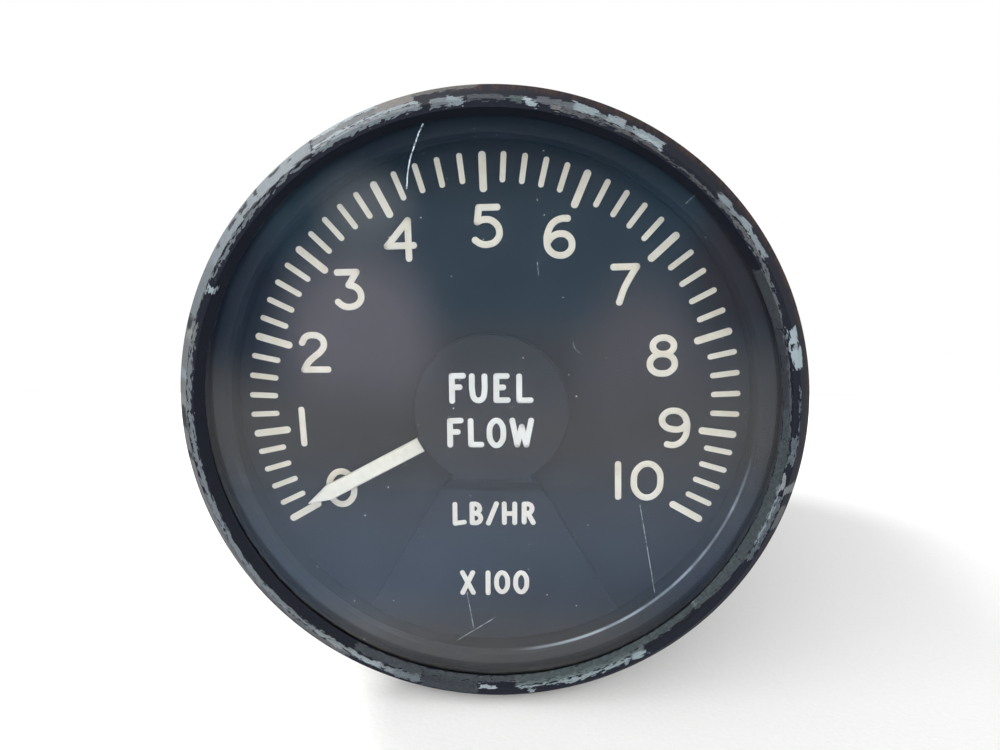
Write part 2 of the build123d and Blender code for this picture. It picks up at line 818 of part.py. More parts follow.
with BuildPart() as brushes:
    for middle in ring_middles:
        with BuildSketch(facing(middle + brush_size / 2)):
            with Locations((brush_inner + brush_length / 2, 0)):
                Rectangle(brush_length, brush_size)
        extrude(amount=brush_size)
brushes.part.label = "brushes"
export_step(brushes.part, "parts/brushes.step")

with BuildPart() as synchro_end_cap:
    with BuildSketch(Plane.XY):
        with BuildLine():
            Polyline(
                (bearing_radius + press_gap, cap_front),
                (cavity_radius - press_gap, cap_front),
                (cavity_radius - press_gap, synchro_back),
                (synchro_radius, synchro_back),
                (synchro_radius, cap_back),
                (0, cap_back),
                (0, rear_bearing_back),
                (bearing_radius + press_gap, rear_bearing_back),
                close=True,
            )
        make_face()
    revolve(axis=Axis.Y)
synchro_end_cap.part.label = "synchro_end_cap"
export_step(synchro_end_cap.part, "parts/synchro_end_cap.step")

# Terminals and leads. A lead runs straight out of its terminal, bends in and meets a solder cup.
board_back = cap_back + board_thickness
terminal_back = board_back + terminal_length
cup_front = terminal_back + wire_room

with BuildPart() as terminal_board:
    with BuildSketch(facing(board_back)):
        Circle(board_radius)
    extrude(amount=board_thickness)
terminal_board.part.label = "terminal_board"
export_step(terminal_board.part, "parts/terminal_board.step")


# Dial-side places of pins and terminals, the first one at the top
def ring_places(radius, count, used):
    turns = [radians(360 * number / count) for number in range(used)]
    return [(radius * sin(turn), radius * cos(turn)) for turn in turns]


terminal_places = ring_places(terminal_circle, pin_count, terminal_count)
pin_places = ring_places(pin_circle, pin_count, pin_count)

with BuildPart() as terminals:
    with BuildSketch(facing(terminal_back)):
        with Locations(*terminal_places):
            Circle(terminal_waist)
    extrude(amount=terminal_length)
    for turret_back in (board_back + terminal_radius, terminal_back):
        with BuildSketch(facing(turret_back)):
            with Locations(*terminal_places):
                Circle(terminal_radius)
        extrude(amount=terminal_radius)
terminals.part.label = "terminals"
export_step(terminals.part, "parts/terminals.step")

with BuildPart() as lead_wires:
    for start, end in zip(terminal_places, pin_places):
        first_bend = (start[0], terminal_back + lead_straight, start[1])
        second_bend = (end[0], cup_front - lead_straight, end[1])
        slant = Vector(second_bend) - Vector(first_bend)
        turn = radians(slant.get_angle(Vector(0, 1, 0)))
        bend_radius = 0.45 * min(lead_straight, slant.length) * (1 + cos(turn)) / sin(turn)
        with BuildLine() as lead_route:
            FilletPolyline(
                (start[0], terminal_back, start[1]),
                first_bend,
                second_bend,
                (end[0], cup_front, end[1]),
                radius=bend_radius,
            )
        with BuildSketch(Plane(origin=(start[0], terminal_back, start[1]), z_dir=(0, 1, 0))):
            Circle(lead_radius)
        sweep(path=lead_route.wire())
lead_wires.part.label = "lead_wires"
export_step(lead_wires.part, "parts/lead_wires.step")

# Receptacle depths, from its solder cups back to the barrel's rim
insert_front = cup_front + cup_length
skirt_front = insert_front + insert_proud
shell_flange_front = skirt_front + skirt_length
shell_flange_back = shell_flange_front + connector_flange_thickness
barrel_back = shell_flange_back + barrel_length
insert_back = barrel_back - socket_depth
pin_back = barrel_back - pin_setback
case_back = shell_flange_front - connector_gasket_thickness
socket_radius = barrel_radius - socket_wall
connector_screw_spacing = flange_side - 2 * connector_screw_inset

# Case: a drawn can with a flange at its mouth, open to the receptacle at its back
with BuildPart() as case_can:
    with BuildSketch(Plane.XY):
        with BuildLine():
            Polyline(
                (0, case_back),
                (case_radius - case_corner, case_back),
            )
            RadiusArc(
                (case_radius - case_corner, case_back),
                (case_radius, case_back - case_corner),
                radius=case_corner,
            )
            Polyline(
                (case_radius, case_back - case_corner),
                (case_radius, 0),
                (case_radius - case_neck_relief, case_flange_back),
                (stack_radius, case_flange_back),
                (stack_radius, case_flange_front),
                (case_inner_radius, case_flange_front),
                (case_inner_radius, case_back - case_corner),
            )
            RadiusArc(
                (case_inner_radius, case_back - case_corner),
                (case_radius - case_corner, case_back - case_back_thickness),
                radius=-(case_corner - case_wall),
            )
            Polyline(
                (case_radius - case_corner, case_back - case_back_thickness),
                (0, case_back - case_back_thickness),
                (0, case_back),
            )
        make_face()
    revolve(axis=Axis.Y)
    with BuildSketch(facing(case_back)):
        Circle(skirt_radius + slip_gap)
        with GridLocations(connector_screw_spacing, connector_screw_spacing, 2, 2):
            Circle(connector_screw_radius + screw_room)
    extrude(amount=case_back_thickness, mode=Mode.SUBTRACT)
case_can.part.label = "case_can"
export_step(case_can.part, "parts/case_can.step")

with BuildPart() as connector_gasket:
    with BuildSketch(facing(shell_flange_front)):
        RectangleRounded(flange_side, flange_side, flange_corner)
        Circle(skirt_radius + slip_gap, mode=Mode.SUBTRACT)
        with GridLocations(connector_screw_spacing, connector_screw_spacing, 2, 2):
            Circle(connector_screw_radius + screw_room, mode=Mode.SUBTRACT)
    extrude(amount=connector_gasket_thickness)
connector_gasket.part.label = "connector_gasket"
export_step(connector_gasket.part, "parts/connector_gasket.step")

with BuildPart() as connector_shell:
    with BuildSketch(facing(shell_flange_back)):
        RectangleRounded(flange_side, flange_side, flange_corner)
        with GridLocations(connector_screw_spacing, connector_screw_spacing, 2, 2):
            Circle(connector_screw_radius + screw_room, mode=Mode.SUBTRACT)
    extrude(amount=connector_flange_thickness)
    with BuildSketch(facing(barrel_back)):
        Circle(barrel_radius)
    extrude(amount=barrel_length)
    rim = connector_shell.edges().filter_by(GeomType.CIRCLE).sort_by(Axis.Y)[-1]
    chamfer(rim, length=barrel_chamfer)
    with BuildSketch(facing(shell_flange_front)):
        Circle(skirt_radius)
    extrude(amount=skirt_length)
    with BuildSketch(facing(insert_back)):
        Circle(insert_radius)
    extrude(amount=insert_back - skirt_front, mode=Mode.SUBTRACT)
    with BuildSketch(facing(barrel_back)):
        Circle(socket_radius)
    extrude(amount=socket_depth, mode=Mode.SUBTRACT)
    with BuildSketch(facing(barrel_back - barrel_chamfer)):
        with Locations((0, socket_radius - key_height / 2)):
            Rectangle(key_width, key_height)
    extrude(amount=socket_depth - barrel_chamfer)
connector_shell.part.label = "connector_shell"
export_step(connector_shell.part, "parts/connector_shell.step")

with BuildPart() as connector_insert:
    with BuildSketch(facing(insert_back)):
        Circle(insert_radius - press_gap)
        with Locations(*pin_places):
            Circle(pin_radius + press_gap, mode=Mode.SUBTRACT)
    extrude(amount=insert_back - insert_front)
connector_insert.part.label = "connector_insert"
export_step(connector_insert.part, "parts/connector_insert.step")

with BuildPart() as connector_pins:
    with BuildSketch(facing(pin_back)):
        with Locations(*pin_places):
            Circle(pin_radius)
    extrude(amount=pin_back - insert_front)
    with BuildSketch(facing(insert_front)):
        with Locations(*pin_places):
            Circle(cup_radius)
    extrude(amount=cup_length)
connector_pins.part.label = "connector_pins"
export_step(connector_pins.part, "parts/connector_pins.step")

# Screws through the receptacle's flange and gasket into nuts inside the can
nut_back = case_back - case_back_thickness
nut_front = nut_back - nut_thickness

with BuildPart() as connector_screws:
    with BuildSketch(facing(shell_flange_back)):
        with GridLocations(connector_screw_spacing, connector_screw_spacing, 2, 2):
            Circle(connector_screw_radius)
    extrude(amount=shell_flange_back - nut_front)
    with BuildSketch(facing(shell_flange_back)):
        with GridLocations(connector_screw_spacing, connector_screw_spacing, 2, 2):
            Circle(connector_head_radius)
    extrude(amount=-connector_head_height)
    with BuildSketch(facing(shell_flange_back + connector_head_height)):
        with GridLocations(connector_screw_spacing, connector_screw_spacing, 2, 2):
            Rectangle(2 * connector_head_radius, driver_slot)
    extrude(amount=connector_head_height / 2, mode=Mode.SUBTRACT)
connector_screws.part.label = "connector_screws"
export_step(connector_screws.part, "parts/connector_screws.step")

with BuildPart() as connector_nuts:
    with BuildSketch(facing(nut_back)):
        with GridLocations(connector_screw_spacing, connector_screw_spacing, 2, 2):
            RegularPolygon(nut_flats / 2, 6, major_radius=False)
            Circle(connector_screw_radius + press_gap, mode=Mode.SUBTRACT)
    extrude(amount=nut_thickness)
connector_nuts.part.label = "connector_nuts"
export_step(connector_nuts.part, "parts/connector_nuts.step")
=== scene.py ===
from math import cos, pi, radians, sin

import bpy
import numpy as np
from mathutils import Matrix, Vector


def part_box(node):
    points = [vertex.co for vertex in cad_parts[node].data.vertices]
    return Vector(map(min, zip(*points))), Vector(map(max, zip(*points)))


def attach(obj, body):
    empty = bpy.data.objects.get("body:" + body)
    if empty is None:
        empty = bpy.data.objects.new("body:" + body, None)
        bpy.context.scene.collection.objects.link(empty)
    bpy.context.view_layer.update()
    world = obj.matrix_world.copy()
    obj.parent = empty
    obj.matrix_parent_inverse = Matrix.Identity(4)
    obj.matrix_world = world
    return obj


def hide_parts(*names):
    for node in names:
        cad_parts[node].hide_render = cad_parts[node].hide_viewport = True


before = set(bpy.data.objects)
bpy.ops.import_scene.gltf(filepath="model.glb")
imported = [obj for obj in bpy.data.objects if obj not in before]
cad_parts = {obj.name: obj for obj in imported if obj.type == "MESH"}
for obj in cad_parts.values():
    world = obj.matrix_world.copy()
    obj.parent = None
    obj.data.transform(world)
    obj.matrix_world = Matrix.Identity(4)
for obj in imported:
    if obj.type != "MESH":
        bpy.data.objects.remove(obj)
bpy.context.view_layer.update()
print("model loaded:", len(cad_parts), "nodes")

mm = 0.001


def tone(red, green, blue):
    # a colour as it shows on a screen, 0 to 255, turned into the shader's own scale
    def linear(value):
        value = value / 255
        return value / 12.92 if value <= 0.04045 else ((value + 0.055) / 1.055) ** 2.4

    return (linear(red), linear(green), linear(blue), 1)


class Recipe:
    # one material, with its lengths in millimetres, or helpers for a tree that is handed in
    def __init__(self, name, tree=None):
        self.tree = tree
        if tree:
            return
        self.material = bpy.data.materials.new(name)
        self.material.use_nodes = True
        self.tree = self.material.node_tree
        self.tree.nodes.clear()
        self.shader = self.add("ShaderNodeBsdfPrincipled")
        self.output = self.add("ShaderNodeOutputMaterial")
        self.tree.links.new(self.shader.outputs[0], self.output.inputs["Surface"])
        objectPlace = self.add("ShaderNodeTexCoord").outputs["Object"]
        self.place = self.vector("SCALE", objectPlace, 1000)

    def add(self, kind, **settings):
        node = self.tree.nodes.new(kind)
        for key, value in settings.items():
            setattr(node, key, value)
        return node

    def feed(self, socket, value):
        if isinstance(value, bpy.types.NodeSocket):
            self.tree.links.new(value, socket)
        else:
            socket.default_value = value

    def set(self, **values):
        # for example set(roughness=0.4) fills the shader's socket called Roughness
        for key, value in values.items():
            label = " ".join(word.capitalize() for word in key.split("_"))
            label = label.replace("Ior", "IOR")
            self.feed(self.shader.inputs[label], value)

    def calc(self, operation, *values):
        node = self.add("ShaderNodeMath", operation=operation)
        for socket, value in zip(node.inputs, values):
            self.feed(socket, value)
        return node.outputs[0]

    def vector(self, operation, first, second=None):
        node = self.add("ShaderNodeVectorMath", operation=operation)
        self.feed(node.inputs[0], first)
        if second is not None:
            self.feed(node.inputs["Scale"] if operation == "SCALE" else node.inputs[1], second)
        return node.outputs["Value"] if operation in ("LENGTH", "DOT_PRODUCT") else node.outputs[0]

    def parts(self, vector):
        node = self.add("ShaderNodeSeparateXYZ")
        self.feed(node.inputs[0], vector)
        return node.outputs

    def fromAxis(self):
        # the three parts of the place, and its distance from the gauge's axis
        x, y, z = self.parts(self.place)
        return x, y, z, self.vector("LENGTH", self.join(x, 0, z))

    def join(self, x, y, z):
        node = self.add("ShaderNodeCombineXYZ")
        for socket, value in zip(node.inputs, (x, y, z)):
            self.feed(socket, value)
        return node.outputs[0]

    def noise(self, vector, scale, detail=3, rough=0.5, distort=0):
        node = self.add("ShaderNodeTexNoise")
        for label, value in (("Vector", vector), ("Scale", scale), ("Detail", detail),
                             ("Roughness", rough), ("Distortion", distort)):
            self.feed(node.inputs[label], value)
        return node.outputs["Fac"]

    def cells(self, vector, scale):
        node = self.add("ShaderNodeTexVoronoi")
        self.feed(node.inputs["Vector"], vector)
        self.feed(node.inputs["Scale"], scale)
        return node.outputs["Distance"]

    def remap(self, value, low, high, toLow=0, toHigh=1, smooth=True):
        node = self.add("ShaderNodeMapRange", interpolation_type="SMOOTHSTEP" if smooth else "LINEAR")
        for label, number in (("Value", value), ("From Min", low), ("From Max", high),
                              ("To Min", toLow), ("To Max", toHigh)):
            self.feed(node.inputs[label], number)
        return node.outputs[0]

    def blend(self, share, first, second, kind="MIX"):
        node = self.add("ShaderNodeMix", data_type="RGBA", blend_type=kind, clamp_factor=True)
        self.feed(node.inputs["Factor"], share)
        self.feed(node.inputs[6], first)
        self.feed(node.inputs[7], second)
        return node.outputs[2]

    def ramp(self, value, stops):
        node = self.add("ShaderNodeValToRGB")
        points = node.color_ramp.elements
        while len(points) < len(stops):
            points.new(0.5)
        for point, (position, colour) in zip(points, stops):
            point.position = position
            point.color = colour
        self.feed(node.inputs[0], value)
        return node.outputs[0]

    def bump(self, height, depth, strength=1.0):
        # depth in millimetres
        node = self.add("ShaderNodeBump")
        self.feed(node.inputs["Height"], height)
        node.inputs["Distance"].default_value = depth * mm
        node.inputs["Strength"].default_value = strength
        self.feed(self.shader.inputs["Normal"], node.outputs[0])

    def attribute(self, name):
        return self.add("ShaderNodeAttribute", attribute_name=name).outputs["Fac"]


def surface(name, dark, light, grain, rough, metal=0.0, relief=0.01, turned=False, stretch=(1, 1, 1), coat=0.0,
            spots=None):
    # a general finish: two tones mixed by a grain, an uneven gloss and a fine relief;
    # spots are a tone, the scale of its noise and its share
    recipe = Recipe(name)
    place = recipe.vector("MULTIPLY", recipe.place, stretch)
    if turned:
        x, y, z, radius = recipe.fromAxis()
        around = recipe.vector("NORMALIZE", recipe.join(x, 0, z))
        lines = recipe.join(recipe.calc("MULTIPLY", radius, 9), recipe.calc("MULTIPLY", y, 9), 0)
        fine = recipe.noise(recipe.vector("ADD", lines, around), 1, 2)
    else:
        fine = recipe.noise(place, grain * 4, 4, 0.6)
    broad = recipe.noise(place, grain, 5, 0.6)
    colour = recipe.blend(recipe.remap(broad, 0.35, 0.68), dark, light)
    if spots:
        spotTone, scale, share = spots
        spotted = recipe.remap(recipe.noise(recipe.place, scale, 6, 0.7), 0.6, 0.7, 0, share)
        colour = recipe.blend(spotted, colour, spotTone)
    recipe.set(base_color=colour, metallic=metal, coat_weight=coat)
    recipe.set(roughness=recipe.remap(fine, 0.3, 0.7, rough - 0.07, rough + 0.09))
    recipe.bump(fine, relief)
    return recipe.material


def dress(material, *nodes):
    for node in nodes:
        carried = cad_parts[node]
        if not carried.material_slots:
            carried.data.materials.append(material)
        for place in carried.material_slots:
            place.material = material


def addObject(name, data):
    thing = bpy.data.objects.new(name, data)
    bpy.context.scene.collection.objects.link(thing)
    return thing


def growingTree(name, inputs):
    # an empty Geometry Nodes tree with named inputs; returns its recipe and input sockets, a way to add nodes,
    # and one to end the tree
    tree = bpy.data.node_groups.new(name, "GeometryNodeTree")
    tree.interface.new_socket("Geometry", in_out="INPUT", socket_type="NodeSocketGeometry")
    for label, kind in inputs.items():
        tree.interface.new_socket(label, in_out="INPUT", socket_type="NodeSocket" + kind)
    tree.interface.new_socket("Geometry", in_out="OUTPUT", socket_type="NodeSocketGeometry")
    recipe = Recipe(None, tree)
    entry = recipe.add("NodeGroupInput").outputs
    leave = recipe.add("NodeGroupOutput").inputs[0]

    def add(kind, feeds=None, **settings):
        whole = kind if kind.startswith(("Shader", "Function")) else "GeometryNode" + kind
        node = recipe.add(whole, **settings)
        for label, value in (feeds or {}).items():
            recipe.feed(node.inputs[label], value)
        return node.outputs

    def close(geometry, material):
        real = add("RealizeInstances", {0: geometry})[0]
        recipe.feed(leave, add("SetMaterial", {"Geometry": real, "Material": material})[0])

    return recipe, entry, add, close


def harvest(name, source, tree, values, body, smooth=True):
    # lets the tree grow on the source, and keeps the result as a plain mesh
    modifier = source.modifiers.new("grow", "NODES")
    modifier.node_group = tree
    for item in tree.interface.items_tree:
        if item.in_out == "INPUT" and item.name in values:
            modifier[item.identifier] = values[item.name]
    bpy.context.view_layer.update()
    grown = source.evaluated_get(bpy.context.evaluated_depsgraph_get())
    mesh = bpy.data.meshes.new_from_object(grown)
    source.modifiers.remove(modifier)
    bpy.data.objects.remove(source)
    mesh.name = name
    if smooth:
        mesh.shade_smooth()
    piece = addObject(name, mesh)
    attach(piece, body)
    print(name, len(mesh.polygons), "faces")
    return piece


# the bezel is the same turned profile as the model's ring, finely divided, with the paint's wear laid along it
bezel = {
    "segments": 1000, "sightRadius": 37.6, "lipRadius": 38.3, "flatWidth": 2.0, "bevelDepth": 2.9,
    "lipRound": 0.12, "shoulderRound": 0.17, "rearChamfer": 0.35, "seatWidth": 0.7, "pocketDepth": 1.0,
    "slack": 0.1, "seed": 5, "ragged": 0.3,
    "paint": tone(17, 19, 26),
    "paintLight": tone(27, 29, 37),
    "rust": tone(46, 35, 32),
    "metal": [(0.0, tone(32, 34, 40)), (0.25, tone(52, 56, 60)), (0.45, tone(76, 82, 86)), (0.7, tone(92, 100, 104)),
              (1.0, tone(122, 133, 137))],
    # where the paint is worn: dial angle from and to, the inner edge at both, the outer edge at both,
    # brightness, warmth. The edges are lengths along the profile from the foot of the glass, plus 1 mm
    "wear": [
        (-180, -177.7, 2.5, 2.6, 3.1, 3.1, 1.0, 0.1),
        (-177, -165.5, 2.0, 2.0, 4.0, 4.0, 0.13, 0.0),
        (-165.2, -158, 2.6, 2.6, 3.7, 3.6, 0.45, 0.0),
        (-159.5, -155, 2.85, 2.75, 3.35, 3.45, 0.7, 0.2),
        (-156, -150, 2.7, 2.7, 3.3, 3.45, 0.84, 0.2),
        (-151, -141, 2.75, 2.75, 3.3, 3.4, 0.75, 0.3),
        (-142, -128, 2.9, 2.95, 3.33, 3.53, 0.6, 0.2),
        (-129, -105, 3, 3.15, 3.58, 3.73, 0.6, 0.25),
        (-150, -105, 3.3, 3.6, 4.0, 4.3, 0.4, 0.6),
        (-106, -90, 3.15, 3.25, 3.73, 3.83, 0.6, 0.3),
        (-91, -76, 3.25, 3.45, 3.83, 3.93, 0.6, 0.3),
        (-77, -71.2, 3.45, 3.5, 3.93, 4.08, 0.6, 0.4),
        (-126, -71.2, 4.0, 4.0, 7.7, 7.7, 0.42, 0.6),
        (-89, -86, 4.0, 4.0, 7.6, 7.6, 0.6, 0.8),
        (-83, -81, 4.0, 4.0, 7.0, 7.0, 0.65, 0.0),
        (-75, -73, 4.0, 4.0, 6.5, 6.5, 0.7, 0.8),
        (-70.8, -60, 4.05, 4.1, 7.8, 7.9, 0.42, 0),
        (-65, -63.7, 2.5, 2.4, 3.8, 3.7, 0.95, 0.1),
        (-62, -32.7, 3.45, 3.5, 3.8, 3.75, 0.55, 0.2),
        (-60.5, -49.6, 4.1, 4.1, 7.9, 7.9, 0.54, 0),
        (-49.8, -45.3, 4.65, 4.65, 7.9, 7.9, 0.57, 0),
        (-45.5, -36.4, 4.1, 4.1, 7.9, 7.9, 0.57, 0),
        (-36.6, -32.6, 4.35, 4.4, 7.9, 7.9, 0.54, 0),
        (-32.3, -11.6, 3.6, 3.55, 4.25, 4.4, 0.62, 0.1),
        (-32.3, -12, 4.2, 4.2, 4.75, 4.75, 0.45, 0.1),
        (-32.1, -12.2, 4.7, 4.8, 5.3, 5.35, 0.8, 0.1),
        (-32, -19, 5.3, 5.3, 6.8, 6.8, 0.42, 0.4),
        (-32, -19.6, 6.8, 6.8, 9.0, 9.0, 0.85, 0.1),
        (-19.5, -13, 5.4, 5.4, 9.0, 9.0, 0.6, 0.95),
        (-13, -2, 6.6, 6.6, 9.0, 9.0, 0.4, 0.85),
        (-9.8, -4.2, 3.35, 3.4, 5.0, 4.6, 0.5, 0.1),
        (-7, -4.1, 3.5, 3.4, 5.3, 4.0, 0.75, 0.0),
        (-3.5, 3, 3.8, 3.8, 4.9, 4.8, 0.22, 0.1),
        (4, 6.2, 3.7, 3.6, 4.8, 4.8, 0.32, -0.7),
        (6.4, 8.5, 3.7, 3.2, 4.8, 3.7, 0.95, 0.1),
        (8.4, 15, 3.8, 3.8, 5.2, 5.4, 0.35, 0.1),
        (11.2, 12.8, 3.3, 3.3, 3.9, 3.9, 0.6, 0.95),
        (11, 32, 3.4, 3.4, 3.9, 3.9, 0.32, 0.5),
        (15, 19, 4.0, 4.0, 5.8, 5.7, 0.8, -0.1),
        (19, 21, 4.0, 4.0, 5.0, 5.0, 0.55, -0.1),
        (21, 24.3, 3.95, 3.95, 5.6, 5.9, 0.79, 0.0),
        (24.3, 26, 4.0, 4.0, 4.9, 4.9, 0.5, 0.0),
        (25.8, 31.6, 3.85, 3.85, 5.3, 5.6, 0.77, -0.1),
        (27, 31.6, 3.85, 3.85, 4.6, 4.6, 0.9, -0.05),
        (32, 44.4, 3.3, 3.25, 3.55, 3.5, 0.3, 0.5),
        (44.6, 47.6, 3.85, 3.85, 5.0, 5.3, 0.7, -0.05),
        (47.5, 50.5, 3.85, 3.85, 4.5, 4.6, 0.61, 0.0),
        (50.2, 53, 3.85, 3.85, 5.2, 5.7, 0.78, -0.05),
        (53, 58.7, 3.85, 3.85, 5.0, 5.1, 0.74, -0.05),
        (44.6, 60.5, 3.3, 3.3, 3.8, 3.75, 0.38, 0.5),
        (60, 72, 3.2, 2.7, 3.5, 3.05, 0.4, 0.3),
        (72.4, 75.2, 3.35, 3.4, 5.1, 5.0, 1.0, 0.0),
        (75.1, 76.5, 3.4, 3.4, 4.7, 4.7, 0.8, 0.0),
        (76.2, 79.9, 3.3, 3.3, 5.6, 5.2, 1.0, -0.05),
        (73.2, 73.8, 2.6, 2.6, 3.4, 3.4, 0.6, 0.3),
        (75.3, 75.9, 2.6, 2.6, 3.4, 3.4, 0.6, 0.3),
        (72, 80, 2.65, 2.3, 2.95, 2.6, 0.4, 0.3),
        (80, 88, 2.3, 2.25, 2.6, 2.55, 0.4, 0.2),
        (88, 94, 2.25, 2.65, 2.55, 2.95, 0.4, 0.0),
        (83, 93, 3.85, 3.85, 3.96, 3.96, 0.42, -0.2),
        (93.3, 98.2, 3.2, 3.1, 4.0, 4.0, 0.38, -0.1),
        (100, 103.3, 2.9, 2.95, 3.1, 3.75, 0.8, 0.5),
        (102.4, 104.2, 3.6, 3.7, 7.0, 7.4, 0.65, 0.6),
        (102.8, 103.6, 2.6, 2.6, 3.5, 3.5, 0.7, 0.2),
        (104, 115.6, 2.92, 2.94, 3.1, 3.1, 0.85, 0.1),
        (105, 119, 3.1, 3.1, 3.8, 3.7, 0.35, -0.1),
        (107, 111.6, 4.0, 4.0, 6.8, 6.8, 0.42, 0.7),
        (133, 133.6, 1.0, 1.0, 1.75, 1.75, 0.68, 0.1),
        (146.8, 150.2, 2.7, 2.7, 3.55, 3.65, 0.85, -0.1),
        (150, 158.2, 2.75, 2.75, 3.25, 3.25, 0.81, -0.1),
        (151.2, 151.9, 3.2, 3.2, 3.7, 3.7, 0.7, 0.0),
        (158, 164, 2.8, 2.8, 3.35, 3.55, 0.81, -0.1),
        (164, 174.6, 2.8, 2.8, 3.2, 3.2, 0.81, -0.1),
        (147, 175, 2.2, 2.2, 2.8, 2.8, 0.45, -0.4),
        (171.2, 172.2, 3.55, 3.55, 3.95, 3.95, 0.8, 0.2),
        (178.9, 180, 2.55, 2.5, 3.1, 3.1, 1.0, 0.1),
        # the bare cone next to the glass
        (60, 72, 1.0, 1.0, 3.3, 2.9, 0.26, 0.2),
        (72, 80, 1.0, 1.0, 2.7, 2.3, 0.2, 0.1),
        (80, 88, 1.0, 1.0, 2.35, 2.3, 0.2, 0.1),
        (88, 94, 1.0, 1.0, 2.3, 2.7, 0.3, -0.1),
        (94, 120, 1.0, 1.0, 2.95, 3.0, 0.29, -0.3),
        (120, 134, 1.0, 1.0, 3.0, 2.3, 0.3, -0.35),
        (134, 147, 1.0, 1.0, 2.15, 2.2, 0.29, -0.3),
        (147, 175, 1.0, 1.0, 2.3, 2.3, 0.3, -0.4),
        (175, 180, 1.0, 1.0, 2.0, 2.0, 0.22, -0.1),
        (-180, -165, 1.0, 1.0, 2.0, 2.1, 0.22, -0.1),
        (-165, -150, 1.0, 1.0, 2.5, 2.5, 0.21, 0.0),
    ],
    # dark flecks inside the worn band
    "flecks": [
        (-57.6, -56.6, 6.0, 6.0, 7.0, 7.0), (-53.8, -51.2, 5.9, 5.9, 7.1, 7.1), (-50.2, -47.8, 5.7, 5.8, 7.0, 7.0),
        (-46.1, -45.2, 5.9, 5.9, 7.1, 7.1), (-42, -39.2, 6.3, 6.3, 7.2, 7.2), (-37.6, -36.8, 6.3, 6.3, 7.0, 7.0),
        (-98.6, -96.8, 4.2, 4.4, 7.6, 7.6), (-92.6, -87.9, 4.3, 4.3, 7.4, 7.4), (-73.6, -71.4, 5.4, 5.0, 7.5, 7.5),
    ],
    "rustBands": [(-6, 106, 6.1, 6.3, 9.6, 9.6), (98, 136, 6.6, 6.9, 9.6, 9.6)],
}

low, high = (Vector(corner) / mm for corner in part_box("bezel_ring"))
outerRadius = high.x
frontDepth = low.y
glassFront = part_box("cover_glass")[0].y / mm
sightRadius, lipRadius = bezel["sightRadius"], bezel["lipRadius"]
flatEnd = outerRadius - bezel["flatWidth"]
bevelEnd = frontDepth + bezel["bevelDepth"]


def laidAlong(points):
    # running length along a profile
    steps = [0.0]
    for (r0, y0), (r1, y1) in zip(points, points[1:]):
        steps.append(steps[-1] + ((r1 - r0) ** 2 + (y1 - y0) ** 2) ** 0.5)
    return steps


def divided(first, last, count):
    return [(first[0] + (last[0] - first[0]) * step / count, first[1] + (last[1] - first[1]) * step / count)
            for step in range(count)]


def rounded(before, corner, after, radius, count=4):
    # a small arc in place of a profile's corner
    into = (Vector(before) - Vector(corner)).normalized()
    out = (Vector(after) - Vector(corner)).normalized()
    start, end = Vector(corner) + into * radius, Vector(corner) + out * radius
    return [tuple(start * (1 - t) ** 2 + Vector(corner) * 2 * t * (1 - t) + end * t ** 2)
            for t in (step / count for step in range(count + 1))]


def patchShare(patches, angle, arc, reach, ragged=0.0):
    # how far the paint is off at each point, from 0 to 1, and the brightness and warmth of what shows there
    cover = np.zeros(np.broadcast(angle, arc).shape)
    best, glow, warmth = cover - 1, cover + 0.3, cover * 0
    for start, end, inner0, inner1, outer0, outer1, *tint in patches:
        along = np.clip((angle - start) / (end - start), 0, 1)
        depth = np.minimum(arc - (inner0 + (inner1 - inner0) * along), outer0 + (outer1 - outer0) * along - arc)
        sideways = np.minimum(angle - start, end - angle) * radians(1) * lipRadius
        inside = np.clip((np.minimum(depth, sideways) + ragged + reach) / (2 * reach), 0, 1)
        cover = np.maximum(cover, inside)
        if tint:
            score = np.where(inside > 0.5, 1 + tint[0], inside)
            glow, warmth = np.where(score > best, tint[0], glow), np.where(score > best, tint[1], warmth)
            best = np.maximum(best, score)
    return cover, glow, warmth


def bezelProfile():
    # radius and depth around the ring's section, and the length along its visible part, counted as in the wear table
    lip, shoulder, chamfer = bezel["lipRound"], bezel["shoulderRound"], bezel["rearChamfer"]
    step = 0.02  # the profile starts a little behind the glass's edge
    front, flat, bevel = (lipRadius, frontDepth), (flatEnd, frontDepth), (outerRadius, bevelEnd)
    visible = [(sightRadius - step, glassFront)]
    visible += divided((sightRadius, glassFront), front, 22)[1:]
    visible += divided(front, (flatEnd - lip, frontDepth), 10)
    visible += rounded(front, flat, bevel, lip)
    visible += divided((flatEnd + lip, frontDepth + shoulder), (outerRadius - 0.1, bevelEnd - 0.15), 28)[1:]
    visible += rounded(flat, bevel, (outerRadius, 0), shoulder)
    visible += divided((outerRadius, bevelEnd + 0.2), (outerRadius, -chamfer), 12)[1:]
    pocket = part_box("case_can")[1].x / mm  # the can's flange lies inside the ring's pocket
    seat, wall, floor = pocket - bezel["seatWidth"], pocket + bezel["slack"], -bezel["pocketDepth"]
    back = [(outerRadius, -chamfer), (outerRadius - chamfer, 0), (seat, 0), (seat, floor), (wall, floor),
            (wall, glassFront)]
    profile = visible + back
    arc = [1.0 - step + length for length in laidAlong(profile)]
    arc[len(visible):] = [12.0] * len(back)  # beyond every worn patch
    return np.array(profile), np.array(arc)


